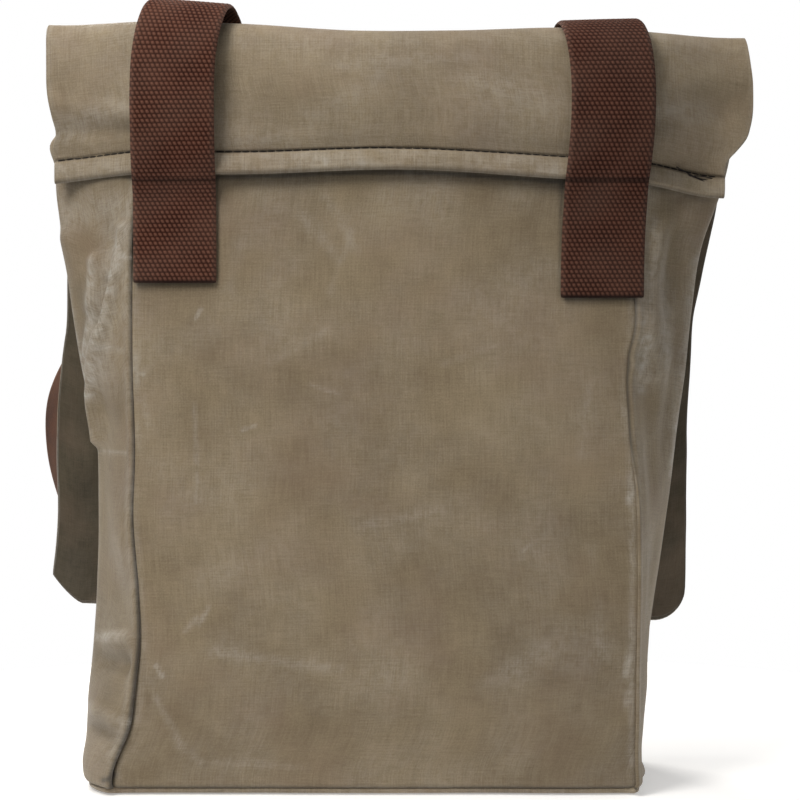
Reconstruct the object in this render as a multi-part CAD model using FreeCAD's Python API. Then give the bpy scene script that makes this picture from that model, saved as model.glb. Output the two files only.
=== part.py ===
"""Waxed canvas saddle bag with a drop flap, webbing hanging straps and leather closing straps.

Millimetres. +Z is up, +Y points out of the front of the bag, +X is to the right of a person
who faces the back panel. The origin is the middle of the base's underside.
"""
import FreeCAD
import Part

import math
import os

from FreeCAD import Vector

# ---- driving dimensions ----------------------------------------------------------------

body_width = 240.0          # between the seams of the back panel
base_depth = 96.0           # front to back at the base
mouth_depth = 36.0          # front to back at the mouth, which is squeezed shut by the flap
body_height = 342.0
crease_reach = {            # how far each gusset's centre crease stands out from the seams,
    "left": [22.0, 20.0, 20.5, 33.0, 45.0],     # at five even heights from base to mouth
    "right": [4.0, 10.0, 21.5, 33.0, 46.0],
}
canvas = 1.6                # one thickness of waxed canvas
lining = 0.8

flap_width = 330.0
flap_hem_z = 290.0          # lower edge of the hem that sews the flap to the back panel
flap_crest = 16.5           # height of the flap's inner face over the mouth
flap_clear = 2.5            # gap between the front panel and the inside of the flap
flap_edge_v = 76.0          # flap's lower edge, measured up the sloping front
flap_corner = 22.0          # radius of the flap's lower corners

webbing_width = 38.0
webbing = 2.4               # thickness
webbing_x = 100.0           # strap centres, left and right of the middle
webbing_tab_z = 236.0       # lower end of the stretch sewn flat on the back panel
webbing_end_v = 271.0       # where the webbing ends on the flap's front
webbing_bow_y = -64.0       # how far the slack strap stands back from the bag
webbing_top_z = 372.0       # centre of the strap's thickness over the top

hinge_z = 350.0             # height of the flap's fold line, which is just behind the slack straps
hinge_gap = 2.0             # between the fold line and the cut webbing, each side of it

leather = 2.0
strap_width = 25.0
strap_leather = 2.2
strap_clear = 0.4           # between a leather strap and the flap

buckle_bar = 1.6            # radius of the buckle's wire
buckle_heel_v = 46.0        # heel bar, measured up the sloping front
buckle_heel_w = 3.9         # and out from it
buckle_span = 22.0          # heel bar to roller
buckle_inside = 26.0        # clear width of the buckle
running_gap = 0.06          # radial clearance of roller and prong on their bars
roller_radius = 2.9
prong_radius = 1.2

rivet_cap = 4.2             # radius
rivet_shank = 1.5
rivet_hole = 1.55

# ---- places worked out from them -------------------------------------------------------

back_y = -base_depth / 2
front_y = base_depth / 2
half_width = body_width / 2
slope = math.atan2(base_depth - mouth_depth, body_height)
sides = {"left": -1, "right": 1}
parts = {}


def on_front(w, v):
    """(y, z) of a point v up the sloping front panel and w out from it."""
    y = front_y + w * math.cos(slope) - v * math.sin(slope)
    z = w * math.sin(slope) + v * math.cos(slope)
    return (y, z)


def lean(shape):
    """Takes a shape modelled on an upright front (Y out of it, Z up it) to the sloping front."""
    moved = shape.copy()
    moved.rotate(Vector(0, 0, 0), Vector(1, 0, 0), math.degrees(slope))
    moved.translate(Vector(0, front_y, 0))
    return moved


# ---- general shapes --------------------------------------------------------------------

def polygon(points):
    """Closed wire through 3-D points."""
    return Part.makePolygon([Vector(*p) for p in points] + [Vector(*points[0])])


def offset_path(points, distance):
    """An open or closed 2-D path moved sideways (to its left), with mitred corners."""
    closed = points[0] == points[-1]
    core = points[:-1] if closed else points
    count = len(core)
    moved = []
    for i, (a, b) in enumerate(core):
        before = core[i - 1] if closed or i else None
        after = core[(i + 1) % count] if closed or i < count - 1 else None
        normals = []
        for start, end in ((before, (a, b)), ((a, b), after)):
            if start is None or end is None:
                continue
            run = (end[0] - start[0], end[1] - start[1])
            length = math.hypot(*run)
            normals.append((-run[1] / length, run[0] / length))
        total = (sum(n[0] for n in normals), sum(n[1] for n in normals))
        size = math.hypot(*total)
        unit = (total[0] / size, total[1] / size)
        reach = distance / (unit[0] * normals[0][0] + unit[1] * normals[0][1])
        moved.append((a + unit[0] * reach, b + unit[1] * reach))
    return moved + moved[:1] if closed else moved


def ribbon(path, near, far, x_low, x_high):
    """A band that follows a path of (y, z) points, between two sideways offsets."""
    outline = offset_path(path, near) + offset_path(path, far)[::-1]
    face = Part.Face(polygon([(x_low, y, z) for y, z in outline]))
    return face.extrude(Vector(x_high - x_low, 0, 0))


def centred_ribbon(path, thickness, x_middle, width):
    half = thickness / 2
    return ribbon(path, -half, half, x_middle - width / 2, x_middle + width / 2)


def rod(start, end, radius):
    run = Vector(*end) - Vector(*start)
    return Part.makeCylinder(radius, run.Length, Vector(*start), run)


def block(low, high):
    size = Vector(*high) - Vector(*low)
    return Part.makeBox(size.x, size.y, size.z, Vector(*low))


# ---- the bag's body --------------------------------------------------------------------

def crease_x(side, z):
    """Distance of a gusset's crease from the middle of the bag, straight between its five heights."""
    reach = crease_reach[side]
    place = max(z, 0.0) / body_height * (len(reach) - 1)
    below = min(int(place), len(reach) - 2)
    return half_width + reach[below] + (reach[below + 1] - reach[below]) * (place - below)


def outline(z, inset=0.0):
    """The six corners of the bag at a height: back seam, crease and front seam on each side."""
    depth = base_depth - (base_depth - mouth_depth) * z / body_height
    middle = back_y + depth / 2
    corners = [(-half_width, back_y), (half_width, back_y), (crease_x("right", z), middle),
               (half_width, back_y + depth), (-half_width, back_y + depth), (-crease_x("left", z), middle)]
    return offset_path(corners + corners[:1], inset)[:6]


BACK_LEFT, BACK_RIGHT, CREASE_RIGHT, FRONT_RIGHT, FRONT_LEFT, CREASE_LEFT = range(6)


def heights(low, high):
    """The ends of a stretch of the bag's height, and the creases' bends between them."""
    bends = [body_height * i / 4 for i in range(5)]
    return [low] + [z for z in bends if low < z < high] + [high]


def wall(corners, low=canvas, high=body_height, outer=0.0, inner=canvas):
    """The cloth along a run of corners, lofted from low to high between two insets."""
    sections = []
    for z in heights(low, high):
        out = outline(z, outer)
        inside = outline(z, inner)
        ring = [out[c] for c in corners] + [inside[c] for c in corners[::-1]]
        sections.append(polygon([(x, y, z) for x, y in ring]))
    return Part.makeLoft(sections, True, True)


def body_panels():
    parts["back_panel"] = wall([BACK_LEFT, BACK_RIGHT])
    parts["front_panel"] = wall([FRONT_RIGHT, FRONT_LEFT])
    parts["right_gusset"] = wall([BACK_RIGHT, CREASE_RIGHT, FRONT_RIGHT])
    parts["left_gusset"] = wall([FRONT_LEFT, CREASE_LEFT, BACK_LEFT])
    sections = [polygon([(x, y, z) for x, y in outline(z)]) for z in (0.0, canvas)]
    parts["base_panel"] = Part.makeLoft(sections, True, True)


def ring(low, high, outer, inner):
    """A closed band of cloth inside the walls."""
    solids = []
    for inset in (outer, inner):
        sections = [polygon([(x, y, z) for x, y in outline(z, inset)])
                    for z in heights(low, high)]
        solids.append(Part.makeLoft(sections, True, True))
    return solids[0].cut(solids[1])


def mouth_facing():
    """A band of canvas inside the mouth, sewn down along its two edges."""
    slack = 0.8
    parts["mouth_facing"] = ring(body_height - 26.0, body_height, canvas + slack, 2 * canvas + slack)


def seam_bindings():
    """Cotton tape over the raw seam edges, which stand inwards from the corners."""
    tape = 8.0
    corners = {"back_left": BACK_LEFT, "back_right": BACK_RIGHT,
               "front_left": FRONT_LEFT, "front_right": FRONT_RIGHT}
    low = canvas + 10.0
    high = body_height - 28.0
    for name, corner in corners.items():
        sections = []
        for z in heights(low, high):
            near = Vector(*outline(z, canvas + 0.4)[corner], z)
            away = Vector(*outline(z, canvas + tape)[corner], z)
            run = (away - near).normalize()
            side = Vector(-run.y, run.x, 0) * 1.2
            ends = (near + side * 0.5, near + run * tape + side * 0.5,
                    near + run * tape - side * 0.5, near - side * 0.5)
            start = run * 1.0
            sections.append(polygon([tuple(p + start) for p in ends]))
        parts["seam_binding_" + name] = Part.makeLoft(sections, True, True)
    parts["base_seam_binding"] = ring(canvas, canvas + 8.0, canvas + 0.2, canvas + 2.0)


def stiffeners():
    """A board across the base, and a thin one down the back in its own sleeve."""
    board_x = half_width - 6.0
    board_y = front_y - 6.0
    base_low = canvas
    parts["base_board"] = block((-board_x, -board_y, base_low), (board_x, board_y, base_low + 3.0))

    sheet = 1.5
    back = back_y + canvas
    parts["back_board"] = block((-102, back + 0.1, 13), (102, back + 0.1 + sheet, 306))
    shell = block((-106, back, 11), (106, back + sheet + 0.4 + lining, 310))
    room = block((-103, back - 1, 12), (103, back + sheet + 0.4, 320))
    parts["back_board_sleeve"] = shell.cut(room)


def inner_pocket():
    """A patch pocket on the sleeve, open at the top, for a phone or a spare tube."""
    sleeve_y = back_y + canvas + 1.5 + 0.4 + lining
    depth = 10.0
    shell = block((-72, sleeve_y, 110), (72, sleeve_y + depth, 240))
    room = block((-72 + canvas, sleeve_y - 1, 110 + canvas), (72 - canvas, sleeve_y + depth - canvas, 260))
    parts["inner_pocket"] = shell.cut(room)


# ---- the flap --------------------------------------------------------------------------

def flap_path():
    """Inner face of the flap from its fold line, over the mouth and down the front."""
    top = body_height + flap_crest
    front = [on_front(flap_clear, v) for v in (350.0, flap_edge_v)]
    over = [(back_y, hinge_z + hinge_gap / 2), (back_y + 2.0, top - 3.0), (back_y + 8.0, top),
            (back_y + 26.0, top), (back_y + 35.0, top - 3.2), (back_y + 37.2, top - 8.0)]
    return over + front


def corner_tools():
    """What is cut away to round the flap's two lower corners."""
    tools = []
    for side in sides.values():
        edge = side * flap_width / 2
        inner = edge - side * flap_corner
        square = block((min(edge, inner) - 1, -5, flap_edge_v - 1),
                       (max(edge, inner) + 1, 15, flap_edge_v + flap_corner))
        keep_x = inner if side > 0 else inner
        keep = Part.makeCylinder(flap_corner, 30, Vector(keep_x, -10, flap_edge_v + flap_corner),
                                 Vector(0, 1, 0))
        strip = block((min(inner, inner - side * 2), -6, flap_edge_v - 2),
                      (max(inner, inner - side * 2), 16, flap_edge_v + flap_corner + 1))
        tools.append(lean(square.cut(keep).cut(strip)))
    return tools


def flap():
    half = flap_width / 2
    outer = lining + canvas
    layers = {"flap_lining": (0.0, lining), "flap_front": (lining, outer)}
    for name, (near, far) in layers.items():
        layer = ribbon(flap_path(), near, far, -half, half)
        for tool in corner_tools():
            layer = layer.cut(tool)
        parts[name] = layer
    parts["flap_back"] = block((-half, back_y - outer, flap_hem_z),
                               (half, back_y, hinge_z - hinge_gap / 2))


# ---- webbing straps --------------------------------------------------------------------

def webbing_straps():
    """Each strap is sewn flat on the back, stands off the flap, and ends on the flap's front."""
    flat_y = back_y - webbing / 2
    sewn_w = flap_clear + lining + canvas + webbing / 2
    rear = [(flat_y, webbing_tab_z), (flat_y, 277.0), (-54.5, 290.0), (-61.5, 314.0),
            (webbing_bow_y, hinge_z - hinge_gap)]
    top = [(webbing_bow_y, hinge_z + hinge_gap), (-62.5, 362.0), (-57.0, 369.0),
           (-46.0, webbing_top_z), (-24.0, webbing_top_z), (-9.0, 367.0), (-1.5, 356.0)]
    front = [on_front(sewn_w, v) for v in (318.0, webbing_end_v)]
    for name, side in sides.items():
        middle = side * webbing_x
        parts[name + "_webbing_rear"] = centred_ribbon(rear, webbing, middle, webbing_width)
        parts[name + "_webbing_front"] = centred_ribbon(top + front, webbing, middle, webbing_width)


# ---- leather straps --------------------------------------------------------------------

def strap_section(u, v, turn, run):
    """The four corners of a strap's section, turned on edge by an angle about its run."""
    flap_face = flap_clear + lining + canvas + strap_clear
    out = Vector(0, 1, 0)
    across = run.cross(out)
    angle = math.radians(turn)
    wide = (across * math.cos(angle) + out * math.sin(angle)) * (strap_width / 2)
    thin = (out * math.cos(angle) - across * math.sin(angle)) * (strap_leather / 2)
    middle = Vector(u, flap_face + wide.y + thin.y, v)
    corners = (middle + wide + thin, middle - wide + thin, middle - wide - thin, middle + wide - thin)
    return polygon([tuple(p) for p in corners])


def leather_strap(route):
    """A strap along a route of (sideways, up the front, turn on edge) down the front of the flap."""
    sections = []
    for i, (u, v, turn) in enumerate(route):
        before = route[max(i - 1, 0)]
        after = route[min(i + 1, len(route) - 1)]
        run = Vector(after[0] - before[0], 0, after[1] - before[1]).normalize()
        if i == 0:
            run = Vector(0, 0, -1)
        sections.append(strap_section(u, v, turn, run))
    return Part.makeLoft(sections, True, True)


def strap_holes(strap, places):
    for u, v in places:
        strap = strap.cut(rod((u, 0, v), (u, 30, v), 2.0))
    return strap


def leather_straps():
    """The left strap turns on edge and bows out past the flap; the right one hangs beside its buckle."""
    top = webbing_end_v - 1.5
    left = [(-100.0, top, 0.0), (-104.0, 254.0, 12.0), (-128.0, 232.0, 38.0),
            (-156.0, 208.0, 55.0), (-170.0, 180.0, 60.0), (-168.0, 144.0, 60.0),
            (-153.0, 106.0, 58.0), (-140.0, 82.0, 56.0), (-140.0, 58.0, 54.0), (-143.0, 34.0, 50.0)]
    right = [(100.0, top, 0.0), (99.0, 240.0, 0.0), (93.0, 190.0, 0.0), (83.0, 130.0, 0.0),
             (74.0, 88.0, 0.0), (69.0, 58.0, 0.0), (67.0, 22.0, 0.0)]
    holes = [(67.5 + 0.45 * i, 40.0 + 16.0 * i * 0.9) for i in range(3)]
    parts["left_leather_strap"] = lean(leather_strap(left))
    parts["right_leather_strap"] = lean(strap_holes(leather_strap(right), holes))


# ---- buckles ---------------------------------------------------------------------------

def heel(x):
    return (x, buckle_heel_w, buckle_heel_v)


def buckle_tab(middle):
    """Leather folded round the heel bar, with both ends sewn to the front panel."""
    turn = buckle_bar + 0.2 + leather / 2
    low = 10.0
    path = [(buckle_heel_w - turn, low), (buckle_heel_w - turn, buckle_heel_v)]
    for i in range(1, 8):
        angle = math.pi * (1 - i / 8)
        path.append((buckle_heel_w + turn * math.cos(angle), buckle_heel_v + turn * math.sin(angle)))
    lower = buckle_heel_w - turn + leather + 0.1
    path += [(buckle_heel_w + turn, buckle_heel_v), (lower, buckle_heel_v - 13.0), (lower, low)]
    solid = centred_ribbon(path, leather, middle, strap_width)
    slot = block((middle - 2.6, -1, buckle_heel_v - 7), (middle + 2.6, 12, buckle_heel_v + 6))
    return solid.cut(slot)


def buckle_frame(middle):
    """A rectangle of round wire."""
    reach = buckle_inside / 2 + buckle_bar
    low = buckle_heel_v
    high = buckle_heel_v + buckle_span
    corners = [(middle + s * reach, buckle_heel_w, v) for s, v in ((-1, low), (1, low), (1, high), (-1, high))]
    frame = None
    for i, corner in enumerate(corners):
        bar = rod(corner, corners[(i + 1) % 4], buckle_bar)
        ball = Part.makeSphere(buckle_bar, Vector(*corner))
        frame = bar.fuse(ball) if frame is None else frame.fuse([bar, ball])
    return frame.removeSplitter()


def buckle_roller(middle):
    high = buckle_heel_v + buckle_span
    ends = [(middle + s * (buckle_inside / 2 - 1.2), buckle_heel_w, high) for s in (-1, 1)]
    return rod(ends[0], ends[1], roller_radius).cut(rod(ends[0], ends[1], buckle_bar + running_gap))


def buckle_prong(middle):
    """A tongue that turns on the heel bar and rests on the roller."""
    eye = 3.2
    half = 1.7
    ends = [(middle - half, buckle_heel_w, buckle_heel_v), (middle + half, buckle_heel_w, buckle_heel_v)]
    foot = (middle, buckle_heel_w + 0.8, buckle_heel_v + 2.6)
    tip = (middle, buckle_heel_w + 4.55, buckle_heel_v + 23.6)
    tongue = rod(foot, tip, prong_radius).fuse(Part.makeSphere(prong_radius, Vector(*tip)))
    hub = rod(ends[0], ends[1], eye)
    return hub.fuse(tongue).cut(rod(ends[0], ends[1], buckle_bar + running_gap))


def keeper(middle):
    """A leather loop below the buckle for the strap's tail."""
    low = 25.0
    high = 34.0
    outer = block((middle - 15.6, 0.0, low), (middle + 15.6, 10.8, high))
    inner = block((middle - 13.7, -1.0, low - 1), (middle + 13.7, 9.0, high + 1))
    return outer.cut(inner)


def buckles():
    for name, side in sides.items():
        middle = side * webbing_x
        parts[name + "_buckle_tab"] = lean(buckle_tab(middle))
        parts[name + "_keeper"] = lean(keeper(middle))
        parts[name + "_buckle_frame"] = lean(buckle_frame(middle))
        parts[name + "_buckle_roller"] = lean(buckle_roller(middle))
        parts[name + "_buckle_prong"] = lean(buckle_prong(middle))


# ---- rivets ----------------------------------------------------------------------------

def rivet(x, v, w_in, w_out):
    """A rivet through layers that lie between w_in and w_out, with a cap outside and a burr."""
    shank = rod((x, w_in, v), (x, w_out, v), rivet_shank)
    cap = Part.makeCone(rivet_cap, rivet_cap * 0.55, 1.3, Vector(x, w_out, v), Vector(0, 1, 0))
    burr = Part.makeCylinder(rivet_cap * 0.9, 0.8, Vector(x, w_in - 0.8, v), Vector(0, 1, 0))
    return lean(shank.fuse([cap, burr]))


def rivet_group(name, places, w_in, w_out, through):
    """Rivets of one row, and the holes that they need in the nodes that they pass through."""
    solids = []
    for x, v in places:
        solids.append(rivet(x, v, w_in, w_out))
        hole = lean(rod((x, w_in - 2, v), (x, w_out + 2, v), rivet_hole))
        for node in through:
            parts[node] = parts[node].cut(hole)
    parts[name] = Part.makeCompound(solids)


def rivets():
    both = [side * webbing_x for side in sides.values()]
    spread = 7.0
    low = [(x + s * spread, 17.0) for x in both for s in (-1, 1)]
    tab_out = buckle_heel_w - (buckle_bar + 0.2 + leather / 2) + leather * 1.5 + 0.1
    rivet_group("buckle_tab_rivets", low, -canvas, tab_out,
                ["front_panel", "left_buckle_tab", "right_buckle_tab"])
    high = [(x + s * 12.0, webbing_end_v + 8.0) for x in both for s in (-1, 1)]
    sewn = flap_clear + lining + canvas + webbing
    rivet_group("strap_rivets", high, flap_clear, sewn,
                ["flap_lining", "flap_front", "left_webbing_front", "right_webbing_front"])


# ---- all of it -------------------------------------------------------------------------

body_panels()
mouth_facing()
seam_bindings()
stiffeners()
inner_pocket()
flap()
webbing_straps()
leather_straps()
buckles()
rivets()

os.makedirs("parts", exist_ok=True)
for part_name, part_shape in parts.items():
    part_shape.exportStep("parts/" + part_name + ".step")
    print(part_name, len(part_shape.Solids), part_shape.isValid(), round(part_shape.Volume / 1000, 2))
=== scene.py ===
"""Looks of the waxed canvas saddle bag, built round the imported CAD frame.

Lengths are in millimetres until a mesh is made. X is to the right of the back view, Y is out of
the bag's front and Z is up, as in the frame.
"""

import math

import bpy
import numpy as np
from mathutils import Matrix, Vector


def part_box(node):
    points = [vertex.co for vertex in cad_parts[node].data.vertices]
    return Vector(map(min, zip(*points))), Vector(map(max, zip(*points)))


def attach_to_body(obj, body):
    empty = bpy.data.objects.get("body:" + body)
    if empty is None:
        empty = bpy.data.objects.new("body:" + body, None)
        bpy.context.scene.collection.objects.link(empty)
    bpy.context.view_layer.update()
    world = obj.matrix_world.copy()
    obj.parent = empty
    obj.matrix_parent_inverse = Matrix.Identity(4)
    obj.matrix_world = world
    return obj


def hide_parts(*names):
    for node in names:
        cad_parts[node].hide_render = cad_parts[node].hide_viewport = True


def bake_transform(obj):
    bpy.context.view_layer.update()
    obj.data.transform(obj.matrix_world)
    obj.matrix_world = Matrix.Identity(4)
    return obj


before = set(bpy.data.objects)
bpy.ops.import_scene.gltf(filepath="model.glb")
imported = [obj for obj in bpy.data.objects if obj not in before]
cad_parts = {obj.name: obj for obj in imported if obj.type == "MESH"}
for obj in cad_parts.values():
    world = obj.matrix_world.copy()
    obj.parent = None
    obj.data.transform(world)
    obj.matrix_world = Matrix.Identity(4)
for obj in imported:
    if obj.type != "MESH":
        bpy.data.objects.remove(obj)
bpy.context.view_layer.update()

MM = 0.001
view = bpy.context.scene.view_settings
view.view_transform = "Standard"


# ---- places read from the frame --------------------------------------------------------

def box_mm(node):
    """Lowest and highest corners of a CAD node in millimetres."""
    low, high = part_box(node)
    return np.array(low) / MM, np.array(high) / MM


back_low, back_high = box_mm("back_panel")
front_low, front_high = box_mm("front_panel")
flap_low, flap_high = box_mm("flap_front")
strap_low, strap_high = box_mm("right_webbing_rear")

CLOTH = back_high[1] - back_low[1]              # thickness of the canvas
BACK_Y = back_low[1]
HALF_WIDTH = back_high[0]
BODY_TOP = back_high[2]
FRONT_Y = front_high[1]
FLAP_HALF = (flap_high[0] - flap_low[0]) / 2
HEM_Z = box_mm("flap_back")[0][2]
SLOPE = math.atan2(front_high[1] - front_low[1] - CLOTH, front_high[2] - front_low[2])
SIDES = {"left": -1, "right": 1}
STRAP_X = (strap_low[0] + strap_high[0]) / 2
WEBBING_WIDTH = strap_high[0] - strap_low[0]


def on_front(w, v):
    """(y, z) of a point v up the sloping front and w out from it."""
    y = FRONT_Y + w * math.cos(SLOPE) - v * math.sin(SLOPE)
    z = w * math.sin(SLOPE) + v * math.cos(SLOPE)
    return y, z


# ---- camera and light ------------------------------------------------------------------

CAMERA_DISTANCE = 900.0     # from the back panel
CAMERA_SIDE = 7.7
CAMERA_HEIGHT = 185.0
VIEW_WIDTH = 375.2          # of the picture, at the back panel
AMBIENT = 0.28
FLOOR_RADIUS = 0.45
FLOOR_DROP = -0.0006        # keeps the floor just clear of the bag's base
WARM = (1.0, 0.97, 0.92)
LIGHTS = [                  # name, place, size, power and colour
    ("key", (-0.42, -0.55, 0.86), (0.34, 0.34), 6.0, WARM),
    ("top", (-0.15, -0.25, 1.25), (0.6, 0.4), 4.2, WARM),
    ("front_key", (-0.55, 0.85, 0.85), (0.5, 0.5), 11.0, WARM),
    ("front_fill", (1.1, 0.9, 0.55), (0.9, 0.9), 4.0, (1, 1, 1)),
]


def camera():
    data = bpy.data.cameras.new("camera")
    data.sensor_width = 36.0
    data.lens = data.sensor_width * CAMERA_DISTANCE / VIEW_WIDTH
    seat = bpy.data.objects.new("camera", data)
    seat.location = (CAMERA_SIDE * MM, (BACK_Y - CAMERA_DISTANCE) * MM, CAMERA_HEIGHT * MM)
    seat.rotation_euler = (math.pi / 2, 0, 0)
    bpy.context.scene.collection.objects.link(seat)
    bpy.context.scene.camera = seat


def area_light(name, place, size, power, colour):
    data = bpy.data.lights.new(name, "AREA")
    data.shape = "RECTANGLE"
    data.size, data.size_y = size
    data.energy = power
    data.color = colour
    lamp = bpy.data.objects.new(name, data)
    lamp.location = place
    lamp.visible_camera = False
    aim = Vector((0, 0, 0.18)) - Vector(place)
    lamp.rotation_euler = aim.to_track_quat("-Z", "Y").to_euler()
    bpy.context.scene.collection.objects.link(lamp)


def studio():
    """White surroundings to look at, but dimmer ones to light the bag, so that its shade stays deep."""
    world = bpy.data.worlds.new("studio")
    world.use_nodes = True
    tree = world.node_tree
    seen = tree.nodes["Background"]
    lit = tree.nodes.new("ShaderNodeBackground")
    for background, strength in ((seen, 1.0), (lit, AMBIENT)):
        background.inputs["Color"].default_value = (1, 1, 1, 1)
        background.inputs["Strength"].default_value = strength
    path = tree.nodes.new("ShaderNodeLightPath")
    choose = tree.nodes.new("ShaderNodeMixShader")
    tree.links.new(path.outputs["Is Camera Ray"], choose.inputs[0])
    tree.links.new(lit.outputs[0], choose.inputs[1])
    tree.links.new(seen.outputs[0], choose.inputs[2])
    tree.links.new(choose.outputs[0], tree.nodes["World Output"].inputs["Surface"])
    bpy.context.scene.world = world
    for light in LIGHTS:
        area_light(*light)


def floor():
    """A round pale floor, bright enough to look white."""
    mesh = bpy.data.meshes.new("floor")
    turns = np.linspace(0, 2 * math.pi, 96, endpoint=False)
    rim = [(FLOOR_RADIUS * math.cos(turn), FLOOR_RADIUS * math.sin(turn), FLOOR_DROP) for turn in turns]
    mesh.from_pydata(rim, [], [tuple(range(len(rim)))])
    ground = bpy.data.objects.new("floor", mesh)
    bpy.context.scene.collection.objects.link(ground)
    n = Nodes("floor")
    n.put(n.shader.inputs["Emission Color"], rgb(1, 1, 1))
    n.put(n.shader.inputs["Emission Strength"], 0.32)
    n.set(colour=rgb(0.85, 0.85, 0.85), roughness=0.95, specular=0.1)
    mesh.materials.append(n.material)


# ---- small mathematics -----------------------------------------------------------------

def curve(knots):
    """A smooth function through (position, value) knots."""
    xs = np.array([k[0] for k in knots], float)
    ys = np.array([k[1] for k in knots], float)
    slopes = np.gradient(ys, xs)

    def at(x):
        x = np.clip(np.asarray(x, float), xs[0], xs[-1])
        i = np.clip(np.searchsorted(xs, x) - 1, 0, len(xs) - 2)
        run = xs[i + 1] - xs[i]
        t = (x - xs[i]) / run
        a = ys[i] * (1 + 2 * t) * (1 - t) ** 2 + ys[i + 1] * t * t * (3 - 2 * t)
        return a + run * (slopes[i] * t * (1 - t) ** 2 - slopes[i + 1] * t * t * (1 - t))
    return at


def step(x, low, high):
    t = np.clip((np.asarray(x, float) - low) / (high - low), 0, 1)
    return t * t * (3 - 2 * t)


def waves(u, v, scale, seed, count=14):
    """Smooth seeded noise, about -1 to 1, with features of about the given size."""
    pick = np.random.RandomState(seed)
    total = np.zeros(np.broadcast(u, v).shape)
    for _ in range(count):
        angle = pick.uniform(0, math.pi)
        length = scale * pick.uniform(0.7, 1.9)
        phase = pick.uniform(0, 2 * math.pi)
        total += np.sin(2 * math.pi * (u * math.cos(angle) + v * math.sin(angle)) / length + phase)
    return total / math.sqrt(count)


def near_line(x, z, points, width):
    """1 on a line through (x, z) points, falling smoothly to 0 over about the width."""
    best = np.full(np.broadcast(x, z).shape, 1e9)
    for (ax, az), (bx, bz) in zip(points, points[1:]):
        run = (bx - ax, bz - az)
        size = run[0] ** 2 + run[1] ** 2
        t = np.clip(((x - ax) * run[0] + (z - az) * run[1]) / size, 0, 1)
        best = np.minimum(best, np.hypot(x - ax - t * run[0], z - az - t * run[1]))
    return np.exp(-(best / width) ** 2)


def lines(x, z, marks):
    """The sum of (strength, width, points) lines."""
    return sum(strength * near_line(x, z, points, width) for strength, width, points in marks)


def bell(value, centre, width):
    return np.exp(-((value - centre) / width) ** 2)


def grid(rows, columns):
    """Two arrays over a grid, from 0 to 1 down the rows and across the columns."""
    return np.meshgrid(np.linspace(0, 1, rows), np.linspace(0, 1, columns), indexing="ij")


def stack(x, y, z):
    return np.stack(np.broadcast_arrays(x, y, z), axis=-1).astype(float)


def grid_normals(points):
    """Unit normals of a grid of points: across the columns, turned towards down the rows."""
    down = np.gradient(points, axis=0)
    across = np.gradient(points, axis=1)
    normal = np.cross(across, down)
    return normal / np.maximum(np.linalg.norm(normal, axis=-1, keepdims=True), 1e-9)


def arc_lengths(points, axis):
    steps = np.linalg.norm(np.diff(points, axis=axis), axis=-1)
    total = np.cumsum(steps, axis=axis)
    pad = [(1, 0), (0, 0)] if axis == 0 else [(0, 0), (1, 0)]
    return np.pad(total, pad)


# ---- making meshes ---------------------------------------------------------------------

RIM_ROUNDING = 0.35         # how far a cloth's rim bulges, as a share of its thickness
RIM_WEAR = 0.15             # extra rubbing on a rim


def set_attribute(mesh, name, kind, values):
    layer = mesh.attributes.new(name, kind, "POINT")
    field = "vector" if kind == "FLOAT_VECTOR" else "value"
    layer.data.foreach_set(field, np.asarray(values, np.float32).ravel())


def make_piece(name, vertices, faces, material, smooth_angle=50.0):
    """A mesh object from millimetre vertices."""
    mesh = bpy.data.meshes.new(name)
    mesh.from_pydata((np.asarray(vertices) * MM).tolist(), [], faces)
    mesh.update()
    mesh.shade_smooth()
    mesh.set_sharp_from_angle(angle=math.radians(smooth_angle))
    mesh.materials.append(material)
    piece = bpy.data.objects.new(name, mesh)
    bpy.context.scene.collection.objects.link(piece)
    return piece


def attach(piece, body):
    """Fixes a piece to a body; a piece given a span instead only has its transform baked."""
    if isinstance(body, dict):
        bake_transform(piece)
    else:
        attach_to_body(piece, body)


def stand_for(piece, slot, body, *nodes):
    """Puts a piece in the place of CAD nodes."""
    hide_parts(*nodes)
    attach(piece, body)


def shell_rim(rows, columns):
    """The (row, column) cells round a grid's outside."""
    rim = [(i, 0) for i in range(rows)]
    rim += [(rows - 1, j) for j in range(1, columns)]
    rim += [(i, columns - 1) for i in range(rows - 2, -1, -1)]
    return rim + [(0, j) for j in range(columns - 2, 0, -1)]


def grid_faces(rows, columns, start, flip):
    faces = []
    for i in range(rows - 1):
        for j in range(columns - 1):
            a = start + i * columns + j
            face = (a, a + 1, a + columns + 1, a + columns)
            faces.append(face[::-1] if flip else face)
    return faces


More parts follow.
